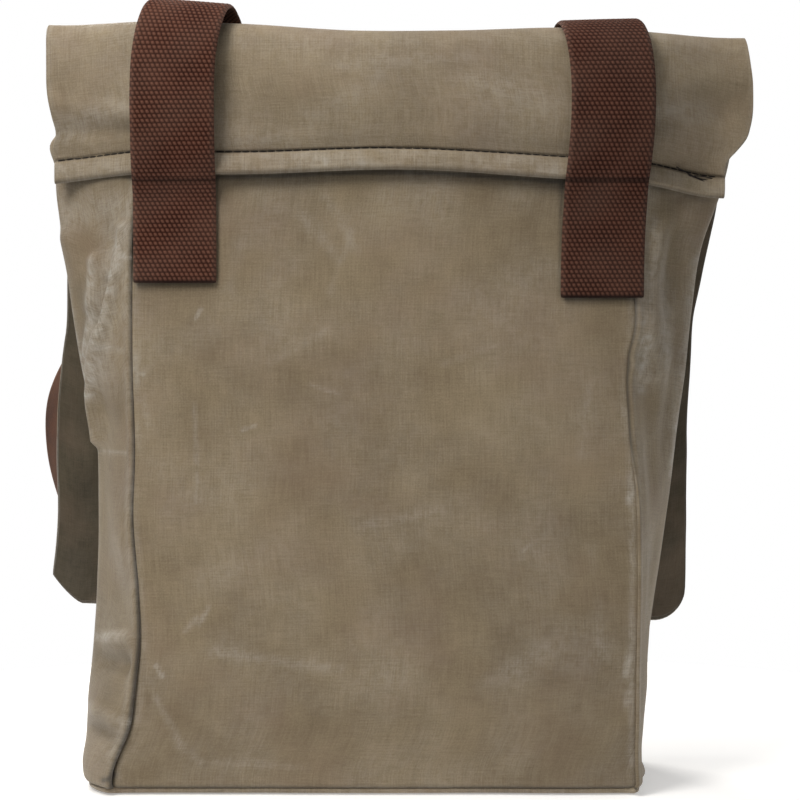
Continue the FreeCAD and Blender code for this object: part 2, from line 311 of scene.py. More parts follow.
def shell(name, points, near, far, material, wear=0.0, shade_and_soil=0.0, closed=False, relief=0.0, grain=None,
          near_face_shade=None, near_relief=0.0):
    """Cloth or leather along a grid of points, from near to far along the grid's normals.

    The far face is the outer one. wear and the darkening are grids from 0 to 1 for the material (the
    darkening is dirt, dark seams and painted shade), relief is extra height on the far face, grain gives
    the cloth's own (across, along) coordinates, and the last two arguments are the near face's own darkening
    (painted shade) and extra depth.
    """
    rows, columns = points.shape[:2]
    count = rows * columns
    normals = grid_normals(points)
    if closed:
        joint = (normals[:, 0] + normals[:, -1]) / 2
        size = np.maximum(np.linalg.norm(joint, axis=-1, keepdims=True), 1e-9)
        normals[:, 0] = normals[:, -1] = joint / size
    outer = points + normals * (far + np.broadcast_to(relief, (rows, columns))[..., None])
    inner = points + normals * (near - np.broadcast_to(near_relief, (rows, columns))[..., None])
    if grain is None:
        grain = (arc_lengths(points, 1), arc_lengths(points, 0))
    cloth = stack(grain[0] * MM, grain[1] * MM, 0.0).reshape(-1, 3)
    wear = np.clip(np.broadcast_to(wear, (rows, columns)), 0, 1).ravel()
    shade_and_soil = np.clip(np.broadcast_to(shade_and_soil, (rows, columns)), 0, 1).ravel()
    near_side = shade_and_soil if near_face_shade is None else np.full(count, near_face_shade)
    vertices = [outer.reshape(-1, 3), inner.reshape(-1, 3)]
    values = {"cloth": [cloth, cloth], "wear": [wear, wear], "shade_and_soil": [shade_and_soil, near_side]}
    faces = grid_faces(rows, columns, 0, False) + grid_faces(rows, columns, count, True)
    if closed:
        for i in (0, rows - 1):
            for a in range(i * columns, (i + 1) * columns - 1):
                quad = (a, count + a, count + a + 1, a + 1)
                faces.append(quad if i == 0 else quad[::-1])
    else:
        rim = np.array(shell_rim(rows, columns))
        at = rim[:, 0] * columns + rim[:, 1]
        inside = np.clip(rim, 1, [rows - 2, columns - 2])
        flat = points.reshape(-1, 3)
        inward = flat[inside[:, 0] * columns + inside[:, 1]] - flat[at]
        size = np.maximum(np.linalg.norm(inward, axis=1, keepdims=True), 1e-9)
        centre = (vertices[0] + vertices[1])[at] / 2
        vertices.append(centre - inward / size * abs(far - near) * RIM_ROUNDING)
        values["cloth"].append(cloth[at])
        values["wear"].append(np.minimum(wear[at] + RIM_WEAR, 1))
        values["shade_and_soil"].append(shade_and_soil[at])
        total = len(rim)
        for k in range(total):
            n = (k + 1) % total
            faces.append((at[k], at[n], 2 * count + n, 2 * count + k))
            faces.append((2 * count + k, 2 * count + n, count + at[n], count + at[k]))
    faces = [tuple(int(c) for c in f) for f in faces]
    piece = make_piece(name, np.concatenate(vertices), faces, material)
    for key, kind in (("cloth", "FLOAT_VECTOR"), ("wear", "FLOAT"), ("shade_and_soil", "FLOAT")):
        set_attribute(piece.data, key, kind, np.concatenate(values[key]))
    return piece


# ---- materials -------------------------------------------------------------------------

class Nodes:
    """A short way to write a material's nodes."""

    def __init__(self, name):
        self.material = bpy.data.materials.new(name)
        self.material.use_nodes = True
        self.tree = self.material.node_tree
        self.shader = self.tree.nodes["Principled BSDF"]

    def node(self, kind, **settings):
        made = self.tree.nodes.new(kind)
        for key, value in settings.items():
            setattr(made, key, value)
        return made

    def put(self, socket, value):
        if isinstance(value, bpy.types.NodeSocket):
            self.tree.links.new(value, socket)
        else:
            socket.default_value = value

    def attribute(self, name, output="Fac"):
        return self.node("ShaderNodeAttribute", attribute_name=name).outputs[output]

    def maths(self, operation, a, b=0.0):
        made = self.node("ShaderNodeMath", operation=operation)
        for socket, value in zip(made.inputs, (a, b)):
            self.put(socket, value)
        return made.outputs[0]

    def add(self, a, b):
        return self.maths("ADD", a, b)

    def mul(self, a, b):
        return self.maths("MULTIPLY", a, b)

    def scaled(self, vector, scale):
        made = self.node("ShaderNodeVectorMath", operation="MULTIPLY")
        self.put(made.inputs[0], vector)
        self.put(made.inputs[1], scale)
        return made.outputs[0]

    def noise(self, vector, scale=1.0, detail=3.0, roughness=0.55):
        made = self.node("ShaderNodeTexNoise")
        self.put(made.inputs["Vector"], vector)
        self.put(made.inputs["Scale"], scale)
        self.put(made.inputs["Detail"], detail)
        self.put(made.inputs["Roughness"], roughness)
        return made.outputs["Fac"]

    def between(self, value, low, high, out_low=0.0, out_high=1.0):
        made = self.node("ShaderNodeMapRange", interpolation_type="SMOOTHSTEP")
        for socket, number in zip(made.inputs, (value, low, high, out_low, out_high)):
            self.put(socket, number)
        return made.outputs[0]

    def mix(self, amount, a, b, blend="MIX"):
        made = self.node("ShaderNodeMix", data_type="RGBA", blend_type=blend)
        self.put(made.inputs["Factor"], amount)
        self.put(made.inputs["A"], a)
        self.put(made.inputs["B"], b)
        return made.outputs["Result"]

    def bump(self, height, strength, distance, below=None):
        made = self.node("ShaderNodeBump")
        self.put(made.inputs["Strength"], strength)
        self.put(made.inputs["Distance"], distance)
        self.put(made.inputs["Height"], height)
        if below is not None:
            self.put(made.inputs["Normal"], below)
        return made.outputs["Normal"]

    def set(self, **values):
        names = {"colour": "Base Color", "roughness": "Roughness", "metallic": "Metallic",
                 "specular": "Specular IOR Level", "normal": "Normal", "sheen": "Sheen Weight",
                 "sheen_roughness": "Sheen Roughness", "coat": "Coat Weight",
                 "coat_roughness": "Coat Roughness"}
        for key, value in values.items():
            self.put(self.shader.inputs[names[key]], value)


def rgb(red, green, blue):
    return (red, green, blue, 1.0)


def canvas_material(name, dark, light, worn, thread=0.55, wear_amount=1.0):
    """Waxed canvas: blotchy wax, slubby threads both ways, and pale rubbed folds and scratches."""
    n = Nodes(name)
    cloth = n.attribute("cloth", "Vector")
    blotch = n.noise(n.scaled(cloth, (11.0, 9.0, 1.0)), 1.0, 4.0, 0.6)
    cloud = n.noise(n.scaled(cloth, (55.0, 45.0, 1.0)), 1.0, 4.0, 0.6)
    warp = n.noise(n.scaled(cloth, (1500.0, 60.0, 1.0)), 1.0, 3.0, 0.6)
    weft = n.noise(n.scaled(cloth, (80.0, 1400.0, 1.0)), 1.0, 3.0, 0.6)
    speck = n.noise(cloth, 1150.0, 3.0, 0.75)
    tone = n.add(n.mul(blotch, 0.46), n.mul(cloud, 0.24))
    threads = n.add(n.mul(warp, 0.25), n.mul(weft, 0.19))
    tone = n.add(tone, n.add(threads, n.mul(speck, 0.36)))
    colour = n.mix(n.between(tone, 0.55, 0.97), dark, light)
    hue = n.noise(n.scaled(cloth, (17.0, 21.0, 1.0)), 1.0, 3.0, 0.6)
    colour = n.mix(n.between(hue, 0.42, 0.68, 0.0, 0.22), colour, rgb(0.235, 0.160, 0.112))
    # Darkened where the mesh asks: dirt and dark seam lines, and painted shade under the hem, round the
    # webbing tabs, in creases and on the flap's underside.
    shade_and_soil = n.attribute("shade_and_soil")
    colour = n.mix(n.mul(shade_and_soil, 0.85), colour, rgb(0.018, 0.014, 0.010))
    wear = n.attribute("wear")
    rubbed = n.noise(n.scaled(cloth, (240.0, 170.0, 1.0)), 1.0, 5.0, 0.72)
    streak = n.add(n.mul(warp, 0.5), n.mul(weft, 0.5))
    patch = n.add(n.mul(rubbed, 0.6), n.mul(streak, 0.4))
    broken = n.between(patch, 0.36, 0.62, 0.18, 1.0)
    shown = n.mul(n.mul(wear, broken), wear_amount)
    colour = n.mix(shown, colour, worn)
    across = n.node("ShaderNodeSeparateXYZ")
    n.put(across.inputs[0], cloth)
    pitch = 2 * math.pi / (thread * MM)
    wave_u = n.maths("SINE", n.mul(across.outputs[0], pitch))
    wave_v = n.maths("SINE", n.mul(across.outputs[1], pitch))
    weave = n.mul(wave_u, wave_v)
    height = n.add(n.mul(weave, 0.25), n.add(warp, weft))
    fine = n.bump(height, 0.35, 0.0003)
    soft = n.bump(cloud, 0.25, 0.0012, fine)
    rough = n.between(blotch, 0.3, 0.7, 0.62, 0.78)
    n.set(colour=colour, roughness=rough, normal=soft, specular=0.32, sheen=0.12, sheen_roughness=0.5)
    return n.material


def webbing_material():
    """Heavy cotton webbing: staggered floats of brown yarn, with painted highlights on their tips and painted
    shade between them.
    """
    n = Nodes("brown_webbing")
    cloth = n.attribute("cloth", "Vector")
    split = n.node("ShaderNodeSeparateXYZ")
    n.put(split.inputs[0], cloth)
    u = n.maths("DIVIDE", split.outputs[0], YARN * MM)
    v = n.maths("DIVIDE", split.outputs[1], ROW * MM)
    row = n.maths("FLOOR", v)
    odd = n.mul(n.maths("MODULO", row, 2.0), 0.5)
    along = n.maths("FRACT", v)
    lean = n.mul(n.maths("SUBTRACT", along, 0.5), YARN_SLANT)
    across = n.maths("FRACT", n.add(n.add(u, odd), lean))
    hill_u = n.maths("SINE", n.mul(across, math.pi))
    hill_v = n.maths("SINE", n.mul(along, math.pi))
    hill = n.mul(n.maths("POWER", hill_v, 0.7), hill_u)
    fuzz = n.noise(cloth, 2200.0, 3.0, 0.7)
    fibre = n.noise(n.scaled(cloth, (3000.0, 700.0, 1.0)), 1.0, 2.0, 0.6)
    cloud = n.noise(cloth, 60.0, 4.0, 0.6)
    base = n.mix(n.between(cloud, 0.3, 0.75), rgb(0.044, 0.0135, 0.0078), rgb(0.072, 0.0245, 0.0145))
    # Painted highlight on the yarns' tips.
    tip = n.between(n.add(hill, n.mul(fuzz, 0.7)), 0.62, 1.32)
    colour = n.mix(n.mul(tip, 0.62), base, rgb(0.175, 0.080, 0.054))
    # Painted shade between the yarns.
    gap = n.between(n.add(hill, n.mul(fuzz, 0.2)), 0.08, 0.42, 0.80, 0.0)
    colour = n.mix(gap, colour, rgb(0.012, 0.005, 0.004))
    wear = n.attribute("wear")
    colour = n.mix(n.mul(wear, 0.35), colour, rgb(0.20, 0.13, 0.10))
    # Painted shade at the hem fold, the tab's end and the right strap.
    shade_and_soil = n.attribute("shade_and_soil")
    colour = n.mix(n.mul(shade_and_soil, 0.8), colour, rgb(0.010, 0.006, 0.005))
    height = n.add(hill, n.mul(fibre, 0.5))
    n.set(colour=colour, roughness=0.9, specular=0.08, normal=n.bump(height, 0.6, 0.0005),
          sheen=0.04, sheen_roughness=0.5)
    return n.material


def leather_material(name, dark, light, rim):
    """Vegetable tanned leather: fine grain, darker creases and pale rubbed edges."""
    n = Nodes(name)
    cloth = n.attribute("cloth", "Vector")
    cells = n.node("ShaderNodeTexVoronoi", feature="DISTANCE_TO_EDGE")
    n.put(cells.inputs["Vector"], cloth)
    n.put(cells.inputs["Scale"], 900.0)
    grain = n.between(cells.outputs["Distance"], 0.0, 0.25)
    blotch = n.noise(cloth, 45.0, 5.0, 0.6)
    fine = n.noise(cloth, 700.0, 3.0, 0.6)
    tone = n.add(n.mul(blotch, 0.75), n.mul(fine, 0.25))
    colour = n.mix(n.between(tone, 0.35, 0.70), dark, light)
    colour = n.mix(n.mul(n.attribute("wear"), 0.55), colour, rim)
    colour = n.mix(n.mul(n.attribute("shade_and_soil"), 0.7), colour, rgb(0.012, 0.006, 0.004))
    height = n.add(n.mul(grain, 0.6), n.mul(fine, 0.4))
    n.set(colour=colour, roughness=n.between(blotch, 0.3, 0.7, 0.45, 0.62), specular=0.3,
          normal=n.bump(height, 0.35, 0.0003))
    return n.material


def metal_material():
    """Antique brass: brown in the hollows, brighter where it is handled, with fine scratches."""
    n = Nodes("antique_brass")
    place = n.node("ShaderNodeTexCoord").outputs["Object"]
    blotch = n.noise(place, 160.0, 5.0, 0.65)
    scratch = n.noise(n.scaled(place, (300.0, 2600.0, 2600.0)), 1.0, 2.0, 0.6)
    edge = n.between(n.node("ShaderNodeNewGeometry").outputs["Pointiness"], 0.48, 0.56)
    colour = n.mix(n.between(blotch, 0.35, 0.70), rgb(0.17, 0.105, 0.048), rgb(0.40, 0.275, 0.135))
    colour = n.mix(n.mul(edge, 0.6), colour, rgb(0.68, 0.52, 0.29))
    rough = n.add(n.between(blotch, 0.3, 0.7, 0.42, 0.26), n.mul(scratch, 0.12))
    n.set(colour=colour, metallic=1.0, roughness=rough, normal=n.bump(scratch, 0.12, 0.0002))
    return n.material


def thread_material(name, colour):
    n = Nodes(name)
    place = n.node("ShaderNodeTexCoord").outputs["Object"]
    fuzz = n.noise(place, 2500.0, 2.0, 0.6)
    dark = rgb(*[c * 0.6 for c in colour])
    n.set(colour=n.mix(fuzz, dark, rgb(*colour)), roughness=0.7, specular=0.3,
          normal=n.bump(fuzz, 0.5, 0.0002))
    return n.material


def board_material():
    """Black polypropylene sheet with a fine pebbled face."""
    n = Nodes("stiffener_board")
    place = n.node("ShaderNodeTexCoord").outputs["Object"]
    pebble = n.noise(place, 1400.0, 3.0, 0.6)
    haze = n.noise(place, 25.0, 4.0, 0.6)
    colour = n.mix(haze, rgb(0.020, 0.019, 0.018), rgb(0.045, 0.043, 0.040))
    n.set(colour=colour, roughness=n.between(haze, 0.3, 0.7, 0.48, 0.62), normal=n.bump(pebble, 0.3, 0.0003))
    return n.material


YARN = 2.25                 # spacing of the webbing's warp yarns
ROW = 2.08                  # and of the rows across it
YARN_SLANT = 0.32           # how far a yarn leans within its row

CANVAS = canvas_material("waxed_canvas", rgb(0.145, 0.106, 0.061), rgb(0.282, 0.223, 0.140),
                         rgb(0.50, 0.475, 0.43), wear_amount=0.62)
# A darker copy of the canvas: partly a dark lining, partly painted shade for the flap's shaded underside.
SHADE_DARKENED_LINING = canvas_material("lining_canvas", rgb(0.036, 0.028, 0.0155), rgb(0.078, 0.061, 0.035),
                         rgb(0.25, 0.22, 0.17), wear_amount=0.5)
TAPE = canvas_material("cotton_tape", rgb(0.040, 0.024, 0.016), rgb(0.085, 0.056, 0.040),
                       rgb(0.2, 0.16, 0.12), thread=0.9, wear_amount=0.4)
WEBBING = webbing_material()
LEATHER = leather_material("brown_leather", rgb(0.052, 0.019, 0.0095), rgb(0.112, 0.046, 0.024),
                           rgb(0.22, 0.115, 0.066))
BRASS = metal_material()
BLACK_THREAD = thread_material("black_thread", (0.020, 0.015, 0.013))
BOARD = board_material()


# ---- the shape of the bag's body -------------------------------------------------------

# Back seams and gusset creases: (height, how far out from the CAD's straight seam).
SEAM_LEFT = curve([(0, -7.0), (8, -7.0), (33, 1.5), (50, 3.4), (74, 5.2), (94, 4.2), (131, 1.4),
                   (157, 2.3), (200, 1.5), (240, 1.7), (262, 2.5), (287, 5.3), (342, 4.0)])
SEAM_RIGHT = curve([(0, -1.5), (30, -1.5), (146, -1.6), (176, -4.4), (198, -5.2), (206, -4.6),
                    (217, -1.9), (240, -2.0), (286, 0.7), (342, 1.0)])
REACH_LEFT = curve([(0, 19.0), (4, 22.6), (10, 24.2), (20, 24.6), (38, 24.4), (60, 22.2), (82, 20.6),
                    (100, 19.8), (128, 18.4), (150, 18.6), (178, 20.6), (195, 24.6), (220, 28.6),
                    (250, 32.6), (283, 36.6), (298, 37.4), (308, 39.2), (312, 36.5), (320, 33.5),
                    (342, 32.0)])
REACH_RIGHT = curve([(0, 5.5), (6, 5.0), (13, 1.8), (21, 1.2), (30, 4.9), (45, 7.6), (61, 7.2), (75, 9.4),
                     (100, 12.8), (132, 17.2), (160, 20.4), (182, 22.6), (200, 25.2), (231, 28.5),
                     (260, 32.4), (290, 42.5), (342, 50.0)])
ROW_GAP = 1.3               # spacing of a panel's rows and columns
SEAM_ROLL = 1.5             # how far a panel's edge turns in at a seam
SEAM_WIDTH = 1.9            # and how far in from the edge that starts
SKIRT = 3.4                 # height of the seam between the panels and the base
CORNER_GAP_SHADE = [(-131, 6.6), (-126, 9.2)]     # painted shade in the gap where the left back seam meets the base


def seam_strength(side, z):
    """How deep and dark a back seam is: the right one is pulled flat below the middle."""
    return 1 + 0 * z if side < 0 else 0.16 + 0.84 * step(z, 138, 168)


def front_y(z):
    return FRONT_Y - z * math.tan(SLOPE)


def crease_point(side, z):
    """Where a gusset's centre crease is at a height."""
    reach = REACH_LEFT(z) if side < 0 else REACH_RIGHT(z)
    return side * (HALF_WIDTH + reach), (BACK_Y + front_y(z)) / 2


def seam_x(side, z):
    """The back seam's distance from the middle, which wanders as sewn canvas does."""
    return -HALF_WIDTH + SEAM_LEFT(z) if side < 0 else HALF_WIDTH + SEAM_RIGHT(z)


def roll_in(distance):
    """How deep a panel's surface lies at a distance from its seam."""
    t = np.clip(1 - distance / SEAM_WIDTH, 0, 1)
    return SEAM_ROLL * t ** 2


def spread(size, gap=ROW_GAP):
    """Places from 0 to size, close together near both ends where the seams are."""
    near = np.array([0, 0.35, 0.75, 1.2, 1.8, 2.6, 3.6])
    middle = np.linspace(near[-1], size - near[-1], int((size - 2 * near[-1]) / gap))
    return np.concatenate([near[:-1], middle, size - near[-2::-1]])


def body_heights(top=BODY_TOP):
    return SKIRT + spread(top - SKIRT)


def back_grid():
    z = body_heights()[:, None]
    t = spread(2 * HALF_WIDTH)[None, :] / (2 * HALF_WIDTH)
    left, right = seam_x(-1, z), seam_x(1, z)
    x = left + (right - left) * t
    edge = np.minimum(x - left, right - x)
    seam = np.where(x < 0, seam_strength(-1, z), seam_strength(1, z))
    belly = 2.6 * step(edge, 0, 75) * step(z, 0, 60) * (1 - step(z, 200, 240))
    slack = 0.8 * waves(x, z, 85, 3) * step(edge, 0, 28) * (1 - step(z, 215, 240))
    pulls = lines(x, z, [(0.9, 14, [(-70, 232), (10, 165), (80, 130)]), (-0.8, 12, [(-30, 240), (60, 178)])])
    folds = lines(x, z, [(1.1, 7, [(-116, 62), (-84, 50), (-58, 47)]), (1.2, 10, [(70, 14), (116, 26)])])
    dent = 0.9 * near_line(x, z, [(-104, 44), (-82, 18), (-56, 11)], 9)
    out = belly + slack + pulls * step(edge, 5, 30) + folds * step(edge, 0, 12) - dent
    depth = roll_in(edge) * seam + roll_in(z - SKIRT) * 0.8 - out
    return stack(x, BACK_Y + CLOTH / 2 + 0.2 + depth, z), x, z + 0 * x, edge, seam


def gusset_grid(side):
    """A gusset from its back seam, out to its crease and on to its front seam."""
    z = body_heights()[:, None]
    half = spread(100.0, 2.4)[:44] / 50.0
    half = np.concatenate([half[half < 0.99], [1.0]])
    t = np.concatenate([half - 1, (1 - half)[::-1][1:]])[None, :]
    crease = np.array(crease_point(side, z))
    back = np.array([seam_x(side, z), np.full_like(z, BACK_Y + CLOTH / 2)]) - crease
    front = np.array([side * (HALF_WIDTH - CLOTH / 2) + 0 * z, front_y(z) - CLOTH / 2]) - crease
    soft = 2.2 + 5.0 * (1 - step(z, 20, 120)) + 1.5 * (1 - step(np.abs(z - 260), 0, 40))
    x, y = crease
    for share, seam in ((-t, back), (t, front)):
        reach = np.hypot(*seam)
        length = share * (reach + soft / 2)
        away = (length + np.sqrt(length ** 2 + soft ** 2)) / 2 - soft / 2
        x = x + seam[0] / reach * away
        y = y + seam[1] / reach * away
    hump = np.sin(math.pi * np.clip(-t, 0, 1))
    full = (4.0 if side < 0 else 1.5) * (1 - step(z, 6, 70)) * hump ** 0.8
    corner = (7.0 if side < 0 else 3.0) * (1 - step(z, 4, 34)) * hump
    return stack(x + side * full, y - corner, z), t + 0 * z, z + 0 * t


LONG_FOLD = [(-122, 266), (-125, 246), (-132, 221), (-138, 202), (-140, 188), (-139, 166)]
SHORT_FOLD = [(-138, 252), (-138, 224), (-141, 208)]
# Folds of each gusset: height, width, the distance from the seams over which they rise, and points.
FOLDS = {
    -1: [(4.6, 3.0, 9, LONG_FOLD), (3.0, 2.2, 0, SHORT_FOLD), (-1.6, 8, 9, [(-144, 276), (-130, 262)]),
         (2.0, 5, 9, [(-152, 262), (-140, 232)]), (-2.4, 2.6, 9, [(-130, 240), (-134, 222)]),
         (3.4, 3.2, 4, [(-146, 67), (-118, 73)]), (-4.2, 5.0, 9, [(-146, 57), (-122, 60)]),
         (3.0, 3.6, 9, [(-150, 37), (-120, 33)]), (-1.4, 4.0, 9, [(-146, 28), (-124, 26)])],
    1: [(2.0, 5, 9, [(129, 262), (127, 200)]), (-1.8, 5, 9, [(139, 280), (135, 214)]),
        (1.6, 5, 9, [(150, 284), (137, 270)]), (1.2, 3, 0, [(118, 201), (124, 196)])],
}
# Rubbed lines on each gusset: strength, width and points.
RUBS = {
    -1: [(0.95, 1.6, LONG_FOLD[:5]), (0.85, 1.4, SHORT_FOLD),
         (0.55, 8, [(-128, 262), (-134, 214), (-139, 196)]),
         (0.42, 8, [(-150, 272), (-126, 276)]), (0.70, 2.2, [(-147, 68), (-120, 74)]),
         (0.34, 2.0, [(-148, 37), (-120, 34)]), (0.60, 1.3, [(-127, 256), (-120, 252)]),
         (0.45, 1.2, [(-131, 211), (-122, 208)]), (0.45, 1.0, [(-138, 160), (-121, 160)]),
         (0.55, 2.0, [(-154, 246), (-146, 205), (-141, 186)])],
    1: [(0.50, 3.0, [(127, 268), (123, 222), (121, 190)]), (0.45, 2.2, [(150, 252), (143, 200), (140, 172)]),
        (0.45, 2.0, [(124, 214), (119, 201)]), (0.50, 2.0, [(143, 178), (138, 150)]),
        (0.30, 8, [(133, 240), (131, 196)])],
}
FOLD_SHADE_LINES = [                 # painted shade along the hollows between the left gusset's folds
    [(-130, 242), (-134, 222)], [(-146, 61), (-122, 64)], [(-146, 29), (-124, 27)],
    [(-143, 240), (-141, 214)],
]


def gusset_folds(side, points, t, z):
    """Height, rubbing and painted crease shade of a gusset's folds, on its back half where they are seen."""
    x = points[..., 0]
    rear = 1 - step(t, -0.1, 0.15)
    inner = 1 - step(t, -0.55, -0.15)
    edge = np.minimum((t + 1), (1 - t)) * 45
    slack = step(edge, 0, 9) * (0.35 + 0.65 * step(np.abs(t), 0.05, 0.4))
    lift = 0.9 * waves(x + 90 * t, z, 55, 11 + side) * slack
    for height, width, pinned, line in FOLDS[side]:
        where = inner if line[0][1] < 100 else rear
        grows = step(edge, 0, pinned) if pinned else 1.0
        lift += where * height * near_line(x, z, line, width) * grows
    wear = lines(x, z, RUBS[side]) * rear
    wear += 0.22 * bell(np.abs(t) * 22, 0, 2.2) + 0.20 * bell(edge, 2.2, 1.6)
    wear += 0.10 + 0.10 * waves(x + 80 * t, z, 40, 14)
    # Painted shade along the hollows between the left gusset's folds.
    crease_shade = lines(x, z, [(0.20, 4.0, hollow) for hollow in FOLD_SHADE_LINES]) * rear * (side < 0)
    return lift, np.clip(wear, 0, 1), crease_shade


def hem_shadow(x, z):
    """Painted shadow just under the flap's sewn hem, on whatever is behind it."""
    below = z - HEM_Z - HEM_LINE(x)
    tight = 0.55 + 0.4 * (1 - step(np.abs(x), 90, 150))
    return tight * bell(below, -1.0, 1.3) + 0.26 * bell(below, -3.5, 3.5)


def under_tabs(x, z):
    """Shade close round the two sewn webbing tabs."""
    total = 0
    for name, side in SIDES.items():
        middle, low = side * STRAP_X + WEBBING_ROUTES[name][0][0], WEBBING_ROUTES[name][0][2]
        across = np.abs(x - middle) - WEBBING_WIDTH / 2
        inside = 1 - step(across, -2.0, 0.6)
        inside = inside * step(z, low - 2.8, low - 0.6) * (1 - step(z, low + 3, low + 6))
        edge = np.exp(-(across / 1.0) ** 2) * step(z, low - 1, low + 1)
        total = total + 0.85 * inside + 0.55 * edge
    return total


def front_grid():
    z = body_heights()[:, None]
    x = (HALF_WIDTH - CLOTH / 2) - spread(2 * HALF_WIDTH - CLOTH, 2.0)[None, :]
    edge = HALF_WIDTH - CLOTH / 2 - np.abs(x)
    slack = 1.1 * waves(x, z, 90, 21) * step(edge, 0, 30) * step(z, 70, 130)
    sink = roll_in(edge) + roll_in(z - SKIRT) + 0.2 + np.abs(slack) * 0.8
    y = front_y(z) - CLOTH / 2 - sink
    return stack(x, y, z), x + 0 * z, z + 0 * x, edge + 0 * z


def scratches(x, z, marks):
    """Pale marks on the wax: (x, z, length, angle in degrees, width, strength)."""
    total = np.zeros(np.broadcast(x, z).shape)
    for mx, mz, length, angle, width, strength in marks:
        half = (math.cos(math.radians(angle)) * length / 2, math.sin(math.radians(angle)) * length / 2)
        ends = [(mx - half[0], mz - half[1]), (mx + half[0], mz + half[1])]
        total += strength * near_line(x, z, ends, width)
    return total


BACK_MARKS = [              # x, z, length, angle in degrees, width and strength
    (-87, 225, 5, 65, 0.9, 0.75), (-114, 197, 3, 10, 0.9, 0.6), (-88, 160, 46, 92, 1.0, 0.34),
    (-63, 172, 6, 20, 1.0, 0.55), (-28, 190, 14, -20, 1.0, 0.30), (-84, 84, 9, 62, 1.2, 0.5),
    (-90, 80, 8, 50, 1.4, 0.4), (-105, 58, 6, -56, 1.0, 0.6), (67, 116, 4, 40, 1.0, 0.35),
    (-112, 180, 12, 100, 1.6, 0.3), (40, 206, 26, 20, 2.0, 0.16), (-20, 250, 30, 70, 2.2, 0.16),
    (10, 130, 40, 12, 3.0, 0.14), (60, 60, 34, 28, 3.2, 0.14), (-50, 63, 60, -8, 2.4, 0.26),
    (95, 175, 30, 85, 3.0, 0.14), (-70, 248, 24, 75, 4.0, 0.2), (100, 90, 50, 95, 3.4, 0.16),
    (-101, 34, 26, -62, 1.6, 0.30), (-92, 20, 16, -40, 1.6, 0.26), (-58, 14, 44, -4, 2.0, 0.20),
    (115, 140, 5, 80, 1.4, 0.6), (114, 60, 7, 80, 1.6, 0.6), (114, 44, 6, 80, 1.6, 0.5),
    (-30, 262, 26, -50, 3.0, 0.22), (-20, 268, 30, -60, 2.0, 0.2), (-40, 210, 30, 30, 2.0, 0.12),
]


def body_panels():
    """The four walls; returns their grids, which the base follows."""
    grids = {}
    points, x, z, edge, seam = back_grid()
    grids["back"] = points
    wear = scratches(x, z, BACK_MARKS)
    wear += 0.24 * bell(edge, 2.4, 1.6) * (0.6 + 0.5 * waves(x, z, 30, 8))
    wear += 0.09 + 0.08 * waves(x, z, 70, 31) + 0.05 * waves(x, z, 22, 32)
    wear += 0.30 * (1 - step(z, 150, 172)) * bell(x, HALF_WIDTH - 3.5, 1.6)
    # Dark seam lines: partly dark thread, partly painted shade in the seams.
    shade_and_soil = 0.95 * bell(edge, 0, 0.6) * seam + 0.8 * bell(z, SKIRT, 0.8)
    # Painted shadow under the flap's hem and painted shade round the webbing tabs.
    shade_and_soil += hem_shadow(x, z) + under_tabs(x, z)
    # Painted shade: darker towards the bottom, and on the right half where the light falls off.
    shade_and_soil += 0.10 * (1 - step(z, 20, 200)) + 0.12 * step(x, 0, 116)
    # Painted shade in the gap where the left back seam meets the base.
    shade_and_soil += 0.8 * near_line(x, z, CORNER_GAP_SHADE, 1.3)
    panels = {"back_panel": (points, wear, shade_and_soil)}
    for name, side in SIDES.items():
        points, t, z = gusset_grid(side)
        if side < 0:
            points = points[:, ::-1]
            t = t[:, ::-1]
        lift, wear, crease_shade = gusset_folds(side, points, t, z)
        edge = np.minimum(1 + t, 1 - t) * 45
        seam = np.where(t < 0, seam_strength(side, z), 1.0)
        sink = roll_in(edge) * seam + roll_in(z - SKIRT) * 0.8
        points = points + grid_normals(points) * (lift - sink)[..., None]
        grids[name] = points
        x = points[..., 0]
        # Painted shade in the fold hollows, and dark seam lines: partly dark thread, partly painted shade.
        shade_and_soil = crease_shade + 0.9 * bell(edge, 0, 0.7) * seam + 0.7 * bell(z, SKIRT, 0.8)
        # Painted shadow under the flap's hem.
        shade_and_soil += 0.7 * hem_shadow(x, z) * (1 - step(t, -0.3, 0.0))
        # Painted shade in the gap where the left back seam meets the base.
        shade_and_soil += 0.8 * near_line(x, z, CORNER_GAP_SHADE, 1.3) * (t < 0)
        # The left gusset's lower part darker.
        shade_and_soil += 0.14 * (1 - step(z, 70, 170)) * (side < 0)
        panels[name + "_gusset"] = (points, wear, shade_and_soil)
    points, x, z, edge = front_grid()
    grids["front"] = points
    wear = 0.24 * bell(edge, 2.6, 2.0) + 0.08 + 0.08 * waves(x, z, 60, 35)
    wear += 0.3 * near_line(x, z, [(-110, 76), (110, 73)], 4) * (0.5 + 0.5 * waves(x, z, 25, 36))
    # Dark seam lines: partly dark thread, partly painted shade in the seams.
    panels["front_panel"] = (points, wear, 0.85 * bell(edge, 0, 0.8) + 0.7 * bell(z, SKIRT, 0.8))
    for node, (points, wear, shade_and_soil) in panels.items():
        piece = shell(node + "_cloth", points, -CLOTH / 2, CLOTH / 2, CANVAS, wear, shade_and_soil)
        stand_for(piece, "waxed_canvas", "bag", node)
    return grids


